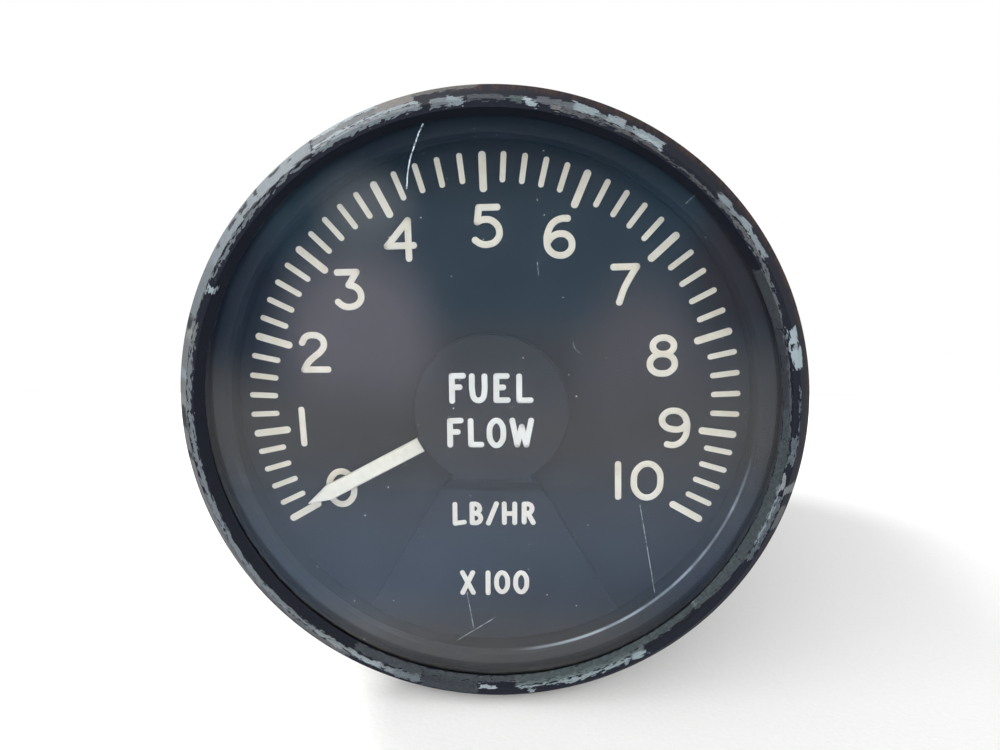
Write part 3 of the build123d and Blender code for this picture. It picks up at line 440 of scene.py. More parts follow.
def makeBezel():
    profile, arc = bezelProfile()
    count, size = bezel["segments"], len(profile)
    angles = np.linspace(-180, 180, count, endpoint=False)
    around, across = angles[:, None], arc[None, :]
    # an uneven edge, the same at every run
    ragged = np.random.default_rng(bezel["seed"]).normal(0, bezel["ragged"], (count, size))
    ragged = (ragged + np.roll(ragged, 1, 0) + np.roll(ragged, -1, 0) + np.roll(ragged, 1, 1)) / 4
    reach = 0.13 + 1.1 * np.clip((across - 6.8) / 1.5, 0, 1)  # softer ends on the ring's side
    wear, glow, warmth = patchShare(bezel["wear"], around, across, reach, ragged)
    wear = wear * (1 - 0.75 * patchShare(bezel["flecks"], around, across, 0.2, ragged)[0])
    rust = patchShare(bezel["rustBands"], around, across, 0.5)[0]
    turn = np.radians(around)
    radius, depth = profile[None, :, 0], profile[None, :, 1]
    points = np.stack([radius * np.sin(turn), np.broadcast_to(depth, (count, size)), radius * np.cos(turn)], -1)
    faces = []
    for ring in range(count):
        here, after = ring * size, (ring + 1) % count * size
        for step in range(size):
            nextStep = (step + 1) % size
            faces.append((here + step, here + nextStep, after + nextStep, after + step))
    mesh = bpy.data.meshes.new("paintedBezel")
    mesh.from_pydata((points.reshape(-1, 3) * mm).tolist(), [], faces)
    for name, values in (("wear", wear), ("glow", glow), ("warmth", warmth), ("rust", rust)):
        mesh.attributes.new(name, "FLOAT", "POINT").data.foreach_set("value", values.astype(np.float32).ravel())
    mesh.shade_smooth()
    mesh.set_sharp_from_angle(angle=radians(30))
    return addObject("paintedBezel", mesh)


def bezelPaint():
    recipe = Recipe("bezelPaint")
    x, y, z = recipe.parts(recipe.place)
    around = recipe.vector("NORMALIZE", recipe.join(x, 0, z))
    # rust runs in short streaks across the side
    slow = recipe.join(0, recipe.calc("MULTIPLY", y, 0.35), 0)
    streaks = recipe.noise(recipe.vector("ADD", recipe.vector("SCALE", around, 95), slow), 1, 3, 0.6)
    fine = recipe.noise(recipe.place, 7, 4, 0.65)
    crumbs = recipe.noise(recipe.place, 2.2, 6, 0.7, 0.6)
    wear, glow, warmth, rust = (recipe.attribute(name) for name in ("wear", "glow", "warmth", "rust"))
    # the grain breaks up the edge of each patch
    mixed = recipe.calc("MULTIPLY_ADD", crumbs, 0.55, recipe.calc("MULTIPLY", fine, 0.45))
    grain = recipe.calc("SUBTRACT", mixed, 0.5)
    shown = recipe.remap(recipe.calc("MULTIPLY_ADD", grain, 1.5, wear), 0.42, 0.56)
    metal = recipe.ramp(recipe.calc("MULTIPLY_ADD", grain, 0.9, glow), bezel["metal"])
    # a warmth above 0 turns the metal brown, one below 0 turns it green
    for end, cast in ((1, (1.0, 0.74, 0.6, 1)), (-1, (0.72, 0.98, 0.78, 1))):
        turned = recipe.blend(1.0, metal, cast, "MULTIPLY")
        metal = recipe.blend(recipe.remap(warmth, 0, end, 0, 0.8, False), metal, turned)
    paint = recipe.blend(recipe.remap(fine, 0.3, 0.75), bezel["paint"], bezel["paintLight"])
    rusty = recipe.blend(recipe.calc("MULTIPLY", rust, recipe.remap(streaks, 0.38, 0.6, 0.15, 1)), paint, bezel["rust"])
    recipe.set(base_color=recipe.blend(shown, rusty, metal))
    recipe.set(roughness=recipe.remap(shown, 0, 1, 0.78, 0.7), specular_ior_level=0.1)
    relief = recipe.calc("ADD", recipe.calc("MULTIPLY", shown, -0.7), recipe.calc("MULTIPLY", streaks, 0.3))
    recipe.bump(relief, 0.03)
    return recipe.material


bezelPiece = makeBezel()
bezelPiece.data.materials.append(bezelPaint())
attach(bezelPiece, "case")
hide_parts("bezel_ring")
dress(bezelPiece.data.materials[0], "bezel_ring")
print("bezel", len(bezelPiece.data.polygons), "faces")


def ringStroke(x, z, wide, tall, cornerWide, cornerTall):
    corners = [(0, tall), (cornerWide, cornerTall), (wide, 0), (cornerWide, -cornerTall), (0, -tall),
               (-cornerWide, -cornerTall), (-wide, 0), (-cornerWide, cornerTall), (0, tall)]
    return [(x + u, z + v) for u, v in corners]


# numerals and words are drawn with a round pen, as on an engraved plate. The numerals' strokes are in millimetres
# from the middle of each, the words' from the axis. A stroke that ends where it starts is closed
numerals = {
    "penWidth": 0.92, "paintHeight": 0.06,
    "oval": ringStroke(0, 0, 1.76, 2.46, 1.32, 1.7),
    "shapes": {
        "1": [[(-0.07, 2.5), (0.08, -2.36)]],
        "2": [[(-1.8, 1.45), (-1.3, 2.22), (-0.25, 2.5), (0.8, 2.15), (1.2, 1.25), (0.8, 0.35), (-0.2, -0.5),
               (-1.15, -1.4), (-1.68, -2.33)],
              [(-1.68, -2.33), (1.6, -2.3)]],
        "3": [[(-1.65, 2.3), (0.95, 2.35)], [(0.95, 2.35), (-0.15, 0.62)],
              [(-0.15, 0.6), (0.8, 0.33), (1.48, -0.75), (1.1, -1.85), (-0.05, -2.35), (-1.0, -2.2), (-1.68, -1.68)]],
        "4": [[(1.08, 2.55), (-1.73, -0.8)], [(-1.73, -0.8), (1.8, -0.68)], [(1.08, 2.55), (1.15, -2.4)]],
        "5": [[(1.2, 2.45), (-1.2, 2.4)], [(-1.2, 2.4), (-1.42, 0.55)],
              [(-1.42, 0.55), (-0.5, 0.86), (0.7, 0.6), (1.5, -0.6), (1.12, -1.85), (-0.1, -2.4), (-1.05, -2.25),
               (-1.7, -1.83)]],
        "6": [[(0.95, 2.42), (0.2, 2.4), (-0.8, 1.95), (-1.5, 0.9), (-1.72, -0.5), (-1.35, -1.72), (0.02, -2.38),
               (1.2, -1.95), (1.6, -0.95), (1.15, 0.08), (0.1, 0.45), (-0.95, 0.12), (-1.62, -0.62)]],
        "7": [[(-1.63, 2.32), (1.42, 2.4)], [(1.42, 2.4), (0.65, 1.1), (-0.15, -0.5), (-0.75, -2.35)]],
        "8": [ringStroke(0, 1.34, 1.41, 1.12, 1.0, 0.79),
              [(-0.05, 0.22), (1.15, -0.15), (1.62, -1.12), (1.15, -2.08), (-0.05, -2.46), (-1.25, -2.08),
               (-1.72, -1.12), (-1.25, -0.15), (-0.05, 0.22)]],
        "9": [[(1.58, 0.62), (0.9, -0.03), (-0.25, -0.16), (-1.4, 0.3), (-1.83, 1.2), (-1.4, 2.1), (-0.3, 2.5),
               (0.9, 2.1), (1.5, 1.15), (1.62, -0.2), (1.3, -1.45), (0.45, -2.25), (-0.35, -2.42), (-1.0, -2.3)]],
    },
    "places": {"0": (-21.53, -12.34), "1": (-26.63, -3.43), "2": (-24.26, 7.14), "3": (-19.13, 15.86),
               "4": (-12.16, 22.42), "5": (-0.45, 24.22), "6": (9.04, 22.77), "7": (17.8, 16.52),
               "8": (23.12, 6.93), "9": (25.16, -3.24)},
    # the 10: its stroke, and the middle of its oval with how much wider and taller that is
    "ten": [[(17.49, -8.5), (17.63, -13.3)]], "tenOval": (21.6, -10.88, 1.05, 1.01),
}
legend = {
    "penWidth": 0.8, "smallPen": 0.72, "paintHeight": 0.05, "thickness": 0.8,
    "onDisc": [
        [(-5.17, 4.88), (-5.17, 1.48)], [(-5.17, 4.88), (-3.69, 4.9)], [(-5.17, 3.33), (-4.16, 3.35)],
        [(-2.52, 4.84), (-2.45, 2.6), (-2.22, 1.85), (-1.66, 1.56), (-1.1, 1.85), (-0.88, 2.6), (-0.84, 4.84)],
        [(0.72, 4.88), (0.72, 1.6)], [(0.72, 4.88), (2.09, 4.9)], [(0.72, 3.33), (1.63, 3.35)],
        [(0.72, 1.6), (2.22, 1.62)],
        [(3.73, 4.84), (3.76, 1.6)], [(3.76, 1.6), (5.25, 1.62)],
        [(-5.53, -1.28), (-5.53, -4.61)], [(-5.53, -1.28), (-4.08, -1.22)], [(-5.53, -2.81), (-4.5, -2.81)],
        [(-2.75, -1.28), (-2.72, -4.55)], [(-2.72, -4.55), (-1.34, -4.55)],
        ringStroke(0.7, -2.92, 0.93, 1.73, 0.63, 1.3),
        [(2.83, -1.17), (3.5, -4.53)], [(3.5, -4.53), (4.09, -2.03)], [(4.09, -2.03), (4.72, -4.53)],
        [(4.72, -4.53), (5.34, -1.17)],
    ],
    "onSector": [
        [(-5.35, -14.37), (-5.37, -17.22)], [(-5.37, -17.22), (-4.07, -17.02)],
        [(-2.94, -14.29), (-2.94, -17.1)],
        [(-2.94, -14.29), (-2.3, -14.32), (-1.9, -14.75), (-1.95, -15.3), (-2.4, -15.66), (-2.94, -15.66)],
        [(-2.94, -15.66), (-2.3, -15.7), (-1.8, -16.1), (-1.78, -16.65), (-2.2, -17.08), (-2.94, -17.1)],
        [(-0.63, -17.13), (0.51, -14.21)],
        [(1.61, -14.21), (1.63, -17.02)], [(3.09, -14.21), (3.09, -17.02)], [(1.61, -15.66), (3.09, -15.66)],
        [(4.42, -14.21), (4.42, -16.91)],
        [(4.42, -14.21), (5.1, -14.24), (5.47, -14.6), (5.45, -15.2), (5.1, -15.55), (4.42, -15.58)],
        [(4.95, -15.55), (5.7, -16.98)],
        [(-4.43, -24.74), (-2.9, -27.84)], [(-2.95, -24.74), (-4.43, -27.87)],
        [(-0.75, -24.74), (-0.75, -27.87)],
        ringStroke(1.27, -26.18, 0.8, 1.5, 0.56, 1.08),
        ringStroke(4.02, -26.15, 0.8, 1.5, 0.56, 1.08),
    ],
}
pen = {"step": 0.14, "sides": 14, "curveSteps": 10, "sunk": 0.05}


def penCurve(name, strokes, depth):
    # strokes as Bezier splines in the dial's plane, seen from the front
    curve = bpy.data.curves.new(name, "CURVE")
    curve.dimensions = "3D"
    curve.resolution_u = pen["curveSteps"]
    for stroke in strokes:
        closed = len(stroke) > 2 and stroke[0] == stroke[-1]
        corners = stroke[:-1] if closed else stroke
        spline = curve.splines.new("BEZIER")
        spline.bezier_points.add(len(corners) - 1)
        spline.use_cyclic_u = closed
        for point, (x, z) in zip(spline.bezier_points, corners):
            point.co = (x * mm, depth * mm, z * mm)
            point.handle_left_type = point.handle_right_type = "AUTO" if len(corners) > 2 else "VECTOR"
    return addObject(name, curve)


def penTree():
    # a flattened round bead along each stroke, with a round end, sunk a little into what it is painted on
    recipe, entry, add, close = growingTree("penStroke", {
        "Pen Width": "Float", "Paint Height": "Float", "Surface Depth": "Float", "Sunk": "Float",
        "Material": "Material"})
    radius = recipe.calc("MULTIPLY", entry["Pen Width"], 0.5)
    path = add("ResampleCurve", {"Curve": entry["Geometry"], "Length": pen["step"] * mm}, mode="LENGTH")[0]
    ring = add("CurvePrimitiveCircle", {"Resolution": pen["sides"], "Radius": radius}, mode="RADIUS")[0]
    bead = add("CurveToMesh", {"Curve": path, "Profile Curve": ring, "Fill Caps": True})[0]
    ends = add("CurveEndpointSelection", {"Start Size": 1, "End Size": 1})[0]
    ball = add("MeshUVSphere", {"Segments": pen["sides"], "Rings": 9, "Radius": radius})[0]
    tips = add("InstanceOnPoints", {"Points": path, "Selection": ends, "Instance": ball})[0]
    both = recipe.add("GeometryNodeJoinGeometry")
    for part in (add("RealizeInstances", {0: tips})[0], bead):
        recipe.feed(both.inputs[0], part)
    x, y, z = recipe.parts(add("InputPosition")[0])
    lift = recipe.calc("DIVIDE", recipe.calc("SUBTRACT", entry["Surface Depth"], y), radius)
    # the bead's front is pressed nearly flat, and its back half is pressed thin
    top = recipe.remap(lift, 0.0, 0.75, 0.0, 0.9, False)
    crown = recipe.calc("ADD", top, recipe.calc("MULTIPLY", lift, 0.1))
    raised = recipe.calc("MULTIPLY", crown, entry["Paint Height"])
    sunk = recipe.calc("MULTIPLY", recipe.calc("MINIMUM", lift, 0.0), entry["Sunk"])
    height = recipe.calc("ADD", recipe.calc("MAXIMUM", raised, 0.0), sunk)
    flat = recipe.join(x, recipe.calc("SUBTRACT", entry["Surface Depth"], height), z)
    close(add("SetPosition", {"Geometry": both.outputs[0], "Position": flat})[0], entry["Material"])
    return recipe.tree


def penLines(name, strokes, width, height, sunk, depth, material):
    harvest(name, penCurve(name + "Strokes", strokes, depth), penStroke, {
        "Pen Width": width * mm, "Paint Height": height * mm, "Surface Depth": depth * mm, "Sunk": sunk * mm,
        "Material": material}, "case")


def paintCream(name, plain, warm, speck):
    recipe = Recipe(name)
    broad = recipe.noise(recipe.place, 0.5, 4, 0.6)
    fine = recipe.noise(recipe.place, 5, 5, 0.65)
    colour = recipe.blend(recipe.remap(broad, 0.35, 0.7), plain, warm)
    colour = recipe.blend(recipe.remap(fine, 0.6, 0.72, 0, 0.35), colour, speck)
    recipe.set(base_color=colour, roughness=recipe.remap(fine, 0.3, 0.7, 0.5, 0.7))
    recipe.bump(fine, 0.02)
    return recipe.material


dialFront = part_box("dial_plate")[0].y / mm
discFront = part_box("legend_plate")[0].y / mm
sectorFront = dialFront - legend["thickness"]
penStroke = penTree()
cream = paintCream("markCream", tone(238, 232, 216), tone(230, 221, 200), tone(190, 180, 158))
unitPaint = paintCream("unitCream", tone(241, 235, 224), tone(233, 226, 212), tone(196, 188, 172))
whitePaint = paintCream("legendWhite", tone(236, 237, 233), tone(229, 228, 219), tone(190, 187, 174))

strokes = []
for digit, (x, z) in numerals["places"].items():
    for stroke in numerals["shapes"].get(digit, [numerals["oval"]]):
        strokes.append([(x + u, z + v) for u, v in stroke])
strokes += numerals["ten"]
ovalX, ovalZ, wide, tall = numerals["tenOval"]
strokes.append([(ovalX + u * wide, ovalZ + v * tall) for u, v in numerals["oval"]])
penLines("numerals", strokes, numerals["penWidth"], numerals["paintHeight"], pen["sunk"], dialFront, cream)
for name, lines, width, depth, paint in (
        ("legendTitle", legend["onDisc"], legend["penWidth"], discFront, whitePaint),
        ("legendUnits", legend["onSector"], legend["smallPen"], sectorFront, unitPaint)):
    penLines(name, lines, width, legend["paintHeight"], pen["sunk"], depth, paint)


# scratches and dust on the cover glass: strokes as above, lengths in millimetres, grains to the square metre
glassWear = {
    "longWidth": 0.17, "fineWidth": 0.055, "height": 0.004, "sunk": 0.002,
    "long": [[(-7.9, 36.6), (-8.5, 35.4), (-8.95, 34.2)], [(-8.95, 34.2), (-9.6, 32.4), (-9.95, 30.6)],
             [(-9.95, 30.6), (-10.1, 29.0)]],
    "fine": [[(-3.4, -24.6), (-2.5, -30.2)], [(-4.8, -32.2), (0.6, -28.6)], [(19.8, -12.0), (22.2, -24.6)],
             [(24.0, 27.0), (25.1, 28.0)], [(10.6, 10.0), (10.9, 9.0), (11.6, 8.4)], [(6.0, 20.0), (6.2, 18.4)]],
    "dustSeed": 7, "dustDensity": 34000.0, "dustSize": 0.085, "dustMargin": 0.5,
}


def glassScratch():
    recipe = Recipe("glassScratch")
    broken = recipe.noise(recipe.place, 3, 4, 0.7)
    colour = recipe.blend(recipe.remap(broken, 0.35, 0.65), tone(150, 165, 172), tone(205, 218, 222))
    recipe.set(base_color=colour, roughness=0.6, alpha=recipe.remap(broken, 0.35, 0.62, 0.25, 0.85))
    return recipe.material


def dustTree():
    # flat grains of uneven size, thicker in some places than in others
    recipe, entry, add, close = growingTree("settledDust", {
        "Density": "Float", "Speck Size": "Float", "Seed": "Int", "Material": "Material"})
    patchy = add("ShaderNodeTexNoise", {"Scale": 90.0, "Detail": 3.0})[0]
    density = recipe.calc("MULTIPLY", recipe.remap(patchy, 0.45, 0.75, 0.15, 3.0, False), entry["Density"])
    points = add("DistributePointsOnFaces", {
        "Mesh": entry["Geometry"], "Density": density, "Seed": entry["Seed"]})[0]
    ball = add("MeshIcoSphere", {"Radius": entry["Speck Size"], "Subdivisions": 2})[0]
    spread = add("FunctionNodeRandomValue", {"Seed": entry["Seed"]}, data_type="FLOAT")[1]
    size = recipe.calc("MULTIPLY_ADD", recipe.calc("POWER", spread, 4.0), 0.9, 0.28)
    close(add("InstanceOnPoints", {"Points": points, "Instance": ball, "Scale": recipe.join(size, 0.05, size)})[0],
          entry["Material"])
    return recipe.tree


scratch = glassScratch()
for name, lines, width in (("glassScratchLong", glassWear["long"], glassWear["longWidth"]),
                           ("glassScratchFine", glassWear["fine"], glassWear["fineWidth"])):
    penLines(name, lines, width, glassWear["height"], glassWear["sunk"], glassFront, scratch)

bpy.ops.mesh.primitive_circle_add(vertices=96, radius=(sightRadius - glassWear["dustMargin"]) * mm, fill_type="NGON",
                                  location=(0, 0, 0))
sheet = bpy.context.object
sheet.data.transform(Matrix.Translation((0, glassFront * mm, 0)) @ Matrix.Rotation(radians(90), 4, "X"))
harvest("glassDust", sheet, dustTree(), {
    "Density": glassWear["dustDensity"], "Speck Size": glassWear["dustSize"] * mm, "Seed": glassWear["dustSeed"],
    "Material": surface("dust", tone(190, 192, 190), tone(225, 226, 222), 2, 0.8)}, "case", False)


# the ridges of the coupling thread run along the receptacle's barrel; clear is left free at both ends
thread = {"pitch": 1.27, "crest": 0.22, "radius": 11.1, "clear": 0.9, "barrel": 12.0, "steps": 72, "body": "case"}


def threadTree():
    recipe, entry, add, close = growingTree("couplingThread", {
        "Radius": "Float", "Pitch": "Float", "Turns": "Float", "Crest": "Float", "Material": "Material"})
    height = recipe.calc("MULTIPLY", entry["Pitch"], entry["Turns"])
    helix = add("CurveSpiral", {
        "Resolution": thread["steps"], "Rotations": entry["Turns"], "Start Radius": entry["Radius"],
        "End Radius": entry["Radius"], "Height": height})[0]
    ridge = add("CurvePrimitiveCircle", {"Resolution": 6, "Radius": entry["Crest"]}, mode="RADIUS")[0]
    rope = add("CurveToMesh", {"Curve": helix, "Profile Curve": ridge, "Fill Caps": True})[0]
    turned = add("Transform", {"Geometry": rope, "Rotation": (radians(-90), 0, 0)})[0]
    close(turned, entry["Material"])
    return recipe.tree


shellFinish = surface("shellFinish", tone(104, 101, 78), tone(132, 128, 100), 0.8, 0.42, 0.7,
                      spots=(tone(70, 62, 45), 1.2, 0.6))
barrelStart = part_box("connector_shell")[1].y / mm - thread["barrel"]
ridges = harvest("couplingThread", addObject("threadHost", bpy.data.meshes.new("threadHost")), threadTree(), {
    "Radius": thread["radius"] * mm, "Pitch": thread["pitch"] * mm, "Crest": thread["crest"] * mm,
    "Turns": (thread["barrel"] - 2 * thread["clear"]) / thread["pitch"], "Material": shellFinish},
    thread["body"])
ridges.data.transform(Matrix.Translation((0, (barrelStart + thread["clear"]) * mm, 0)))


maskHighlight = {"inset": 2.2, "from": 98, "to": 178}  # where a painted highlight lies along the mask ring's inner edge, as a dial angle


def dialBlack(name, dark, light, rough, litEdge=None):
    recipe = Recipe(name)
    broad = recipe.noise(recipe.place, 0.09, 4, 0.6)
    fine = recipe.noise(recipe.place, 9, 4, 0.6)
    lint = recipe.remap(recipe.cells(recipe.place, 0.55), 0.0, 0.075, 1, 0)
    rare = recipe.remap(recipe.noise(recipe.place, 0.35, 2), 0.55, 0.7)
    colour = recipe.blend(recipe.remap(broad, 0.35, 0.65), dark, light)
    colour = recipe.blend(recipe.calc("MULTIPLY", recipe.calc("MULTIPLY", lint, rare), 0.35), colour,
                          tone(110, 112, 114))
    recipe.set(roughness=recipe.remap(fine, 0.3, 0.7, rough - 0.03, rough + 0.05), specular_ior_level=0.3)
    if litEdge:
        # a painted highlight along part of an inner edge, where its bevel catches the light
        edge, start, end = litEdge
        x, y, z, radius = recipe.fromAxis()
        offset = recipe.calc("ABSOLUTE", recipe.calc("SUBTRACT", radius, edge))
        turn = recipe.calc("ARCTAN2", x, z)
        part = recipe.remap(turn, radians(start), radians(start + 15))
        for share in (recipe.remap(turn, radians(end), radians(end - 20)), recipe.remap(offset, 0.04, 0.2, 1, 0),
                      recipe.remap(broad, 0.35, 0.6, 0.35, 1)):
            part = recipe.calc("MULTIPLY", part, share)
        colour = recipe.blend(part, colour, tone(160, 172, 180))
    recipe.set(base_color=colour)
    return recipe.material


pointerWhite = {"angle": -118.5, "from": 11.15}  # how the pointer lies at rest, and where its white part starts


def pointerPaint():
    # white beyond an edge that is measured from the axis along the pointer, and black nearer in
    recipe = Recipe("pointerPaint")
    turn, edge = radians(pointerWhite["angle"]), pointerWhite["from"]
    along = recipe.vector("DOT_PRODUCT", recipe.place, (sin(turn), 0, cos(turn)))
    fine = recipe.noise(recipe.place, 4, 5, 0.7)
    spot = recipe.noise(recipe.place, 1.1, 3, 0.6)
    white = recipe.blend(recipe.remap(spot, 0.4, 0.7), tone(244, 240, 226), tone(236, 231, 214))
    white = recipe.blend(recipe.remap(fine, 0.62, 0.72, 0, 0.3), white, tone(196, 192, 176))
    black = recipe.blend(recipe.remap(fine, 0.3, 0.7), tone(30, 31, 36), tone(40, 41, 46))
    recipe.set(base_color=recipe.blend(recipe.remap(along, edge - 0.04, edge + 0.04), black, white))
    recipe.set(roughness=recipe.remap(fine, 0.3, 0.7, 0.42, 0.6))
    recipe.bump(fine, 0.015)
    return recipe.material


def coverGlass():
    recipe = Recipe("coverGlass")
    smear = recipe.noise(recipe.place, 0.12, 5, 0.65, 0.8)
    recipe.set(base_color=recipe.blend(recipe.remap(smear, 0.4, 0.75), tone(255, 255, 255), tone(250, 252, 253)))
    recipe.set(transmission_weight=1.0, ior=1.5, roughness=0.0)
    return recipe.material


def laminations():
    recipe = Recipe("laminationSteel")
    sheetsPerMm = 2.0
    sheetLine = recipe.calc("FRACT", recipe.calc("MULTIPLY", recipe.parts(recipe.place)[1], sheetsPerMm))
    gap = recipe.remap(recipe.calc("ABSOLUTE", recipe.calc("SUBTRACT", sheetLine, 0.5)), 0.4, 0.5)
    grain = recipe.noise(recipe.place, 3, 4, 0.6)
    steel = recipe.blend(grain, tone(96, 98, 102), tone(132, 133, 134))
    recipe.set(base_color=recipe.blend(recipe.calc("MULTIPLY", gap, 0.7), steel, tone(52, 44, 38)))
    recipe.set(metallic=0.8, roughness=recipe.remap(grain, 0.3, 0.7, 0.38, 0.55))
    recipe.bump(recipe.calc("SUBTRACT", 1.0, gap), 0.03)
    return recipe.material


def woundWire(name, base, shade):
    recipe = Recipe(name)
    wiresPerMm = 4
    x, y, z, radius = recipe.fromAxis()
    slanted = recipe.calc("ADD", radius, recipe.calc("MULTIPLY", y, 0.35))
    wave = recipe.calc("ABSOLUTE", recipe.calc("SINE", recipe.calc("MULTIPLY", slanted, pi * wiresPerMm)))
    grain = recipe.noise(recipe.place, 1.2, 4, 0.6)
    # the grooves between the turns get the darker shade tone, a painted shade in the creases between wires
    colour = recipe.blend(recipe.remap(wave, 0.1, 0.8), shade, base)
    recipe.set(base_color=recipe.blend(recipe.remap(grain, 0.5, 0.75, 0, 0.4), colour, tone(92, 48, 30)))
    recipe.set(metallic=0.55, roughness=recipe.remap(grain, 0.3, 0.7, 0.28, 0.45), coat_weight=0.4)
    recipe.bump(wave, 0.05)
    return recipe.material


def leads():
    recipe = Recipe("leadInsulation")
    x, y, z = recipe.parts(recipe.place)
    turn = recipe.calc("ARCTAN2", x, z)
    braid = recipe.cells(recipe.place, 5)
    leadCount = 5
    whichLead = recipe.calc("FLOOR", recipe.calc("MULTIPLY", recipe.calc("ADD", turn, pi), leadCount / (2 * pi)))
    colour = recipe.ramp(recipe.calc("DIVIDE", whichLead, leadCount), [
        (0.0, tone(196, 188, 160)), (0.25, tone(150, 60, 48)), (0.5, tone(66, 92, 70)), (0.75, tone(58, 74, 110))])
    colour = recipe.blend(recipe.remap(braid, 0.1, 0.5, 0, 0.35), colour, tone(60, 56, 48))
    recipe.set(base_color=colour, roughness=0.75)
    recipe.bump(braid, 0.06)
    return recipe.material


rearCorner = {"depth": (78, 84), "radius": (34, 37)}  # where the can's rear corner starts to rub, and fully rubs


def casePaint():
    recipe = Recipe("casePaint")
    wrinkle = recipe.noise(recipe.place, 1.6, 5, 0.6, 1.2)
    fine = recipe.noise(recipe.place, 8, 4, 0.6)
    # long scuffs from sliding the can through its clamp, and rubbed spots on the rear corner
    x, y, z, radius = recipe.fromAxis()
    rubbed = recipe.noise(recipe.vector("MULTIPLY", recipe.place, (1, 0.1, 1)), 0.55, 6, 0.8, 0.5)
    corner = recipe.calc("MULTIPLY", recipe.remap(y, *rearCorner["depth"], 0, 0.09),
                         recipe.remap(radius, *rearCorner["radius"]))
    colour = recipe.blend(recipe.remap(wrinkle, 0.3, 0.7), tone(23, 24, 27), tone(34, 35, 39))
    colour = recipe.blend(recipe.remap(recipe.calc("ADD", rubbed, corner), 0.66, 0.7, 0, 0.5), colour, tone(92, 92, 91))
    recipe.set(base_color=colour, roughness=recipe.remap(fine, 0.3, 0.7, 0.45, 0.6), specular_ior_level=0.3)
    recipe.bump(recipe.calc("ADD", recipe.calc("MULTIPLY", wrinkle, 0.8), recipe.calc("MULTIPLY", fine, 0.2)), 0.05)
    return recipe.material


def rubberSeal():
    recipe = Recipe("rubber")
    grain = recipe.noise(recipe.place, 6, 5, 0.65)
    bloom = recipe.noise(recipe.place, 0.7, 3, 0.6)
    recipe.set(base_color=recipe.blend(recipe.remap(bloom, 0.4, 0.75, 0, 0.6), tone(27, 27, 28), tone(58, 57, 55)))
    recipe.set(roughness=recipe.remap(grain, 0.3, 0.7, 0.72, 0.9))
    recipe.bump(grain, 0.03)
    return recipe.material


dress(coverGlass(), "cover_glass")
dress(rubberSeal(), "glass_gasket", "case_gasket", "connector_gasket")
dress(dialBlack("dialBlack", tone(22, 25, 32), tone(28, 32, 40), 0.65), "dial_plate")
# the mask ring's black carries a painted highlight along the lower right of its inner bevel
paintedHighlightEdge = (sightRadius - maskHighlight["inset"], maskHighlight["from"], maskHighlight["to"])
dress(dialBlack("maskBlack", tone(20, 23, 30), tone(26, 30, 38), 0.62, paintedHighlightEdge), "mask_ring")
dress(dialBlack("legendBlack", tone(26, 29, 37), tone(31, 35, 44), 0.6), "legend_plate")
dress(cream, "dial_marks")
dress(pointerPaint(), "pointer")
dress(surface("brass", tone(168, 134, 72), tone(196, 163, 98), 0.9, 0.3, 1.0, 0.006, True,
              spots=(tone(112, 84, 48), 1.4, 0.5)),
      "counterweight", "pointer_hub", "terminals", "slip_rings")
dress(surface("platedSteel", tone(150, 148, 140), tone(182, 180, 170), 1.5, 0.34, 1.0, 0.006,
              spots=(tone(120, 104, 80), 2.0, 0.35)),
      "legend_screws", "dial_screws", "post_screws", "clamp_screws", "synchro_clamps", "connector_screws",
      "connector_nuts")
dress(surface("shaftSteel", tone(156, 157, 160), tone(186, 187, 188), 0.8, 0.22, 1.0, 0.003, True),
      "rotor_shaft", "front_bearing", "rear_bearing")
dress(surface("frameAluminium", tone(158, 160, 161), tone(184, 185, 184), 0.5, 0.4, 0.95, 0.006, True),
      "movement_ring", "frame_posts", "mounting_plate", "synchro_housing", "synchro_end_cap")
dress(laminations(), "stator_stack", "rotor_core")
dress(woundWire("copperWinding", tone(178, 96, 56), tone(96, 44, 26)), "stator_winding", "rotor_winding")
dress(surface("insulator", tone(112, 68, 38), tone(140, 90, 52), 0.9, 0.45, stretch=(1, 4, 1), coat=0.2),
      "slip_ring_sleeve", "brush_block", "terminal_board")
dress(surface("carbon", tone(28, 28, 29), tone(44, 44, 45), 4, 0.55, 0.1), "brushes")
dress(leads(), "lead_wires")
dress(casePaint(), "case_can")
dress(shellFinish, "connector_shell")
dress(surface("insertPlastic", tone(38, 52, 48), tone(52, 66, 60), 1.5, 0.6, 0, 0.02), "connector_insert")
dress(surface("goldPins", tone(206, 168, 86), tone(226, 190, 112), 1.2, 0.24, 1.0, 0.003), "connector_pins")
print("finishes laid on")


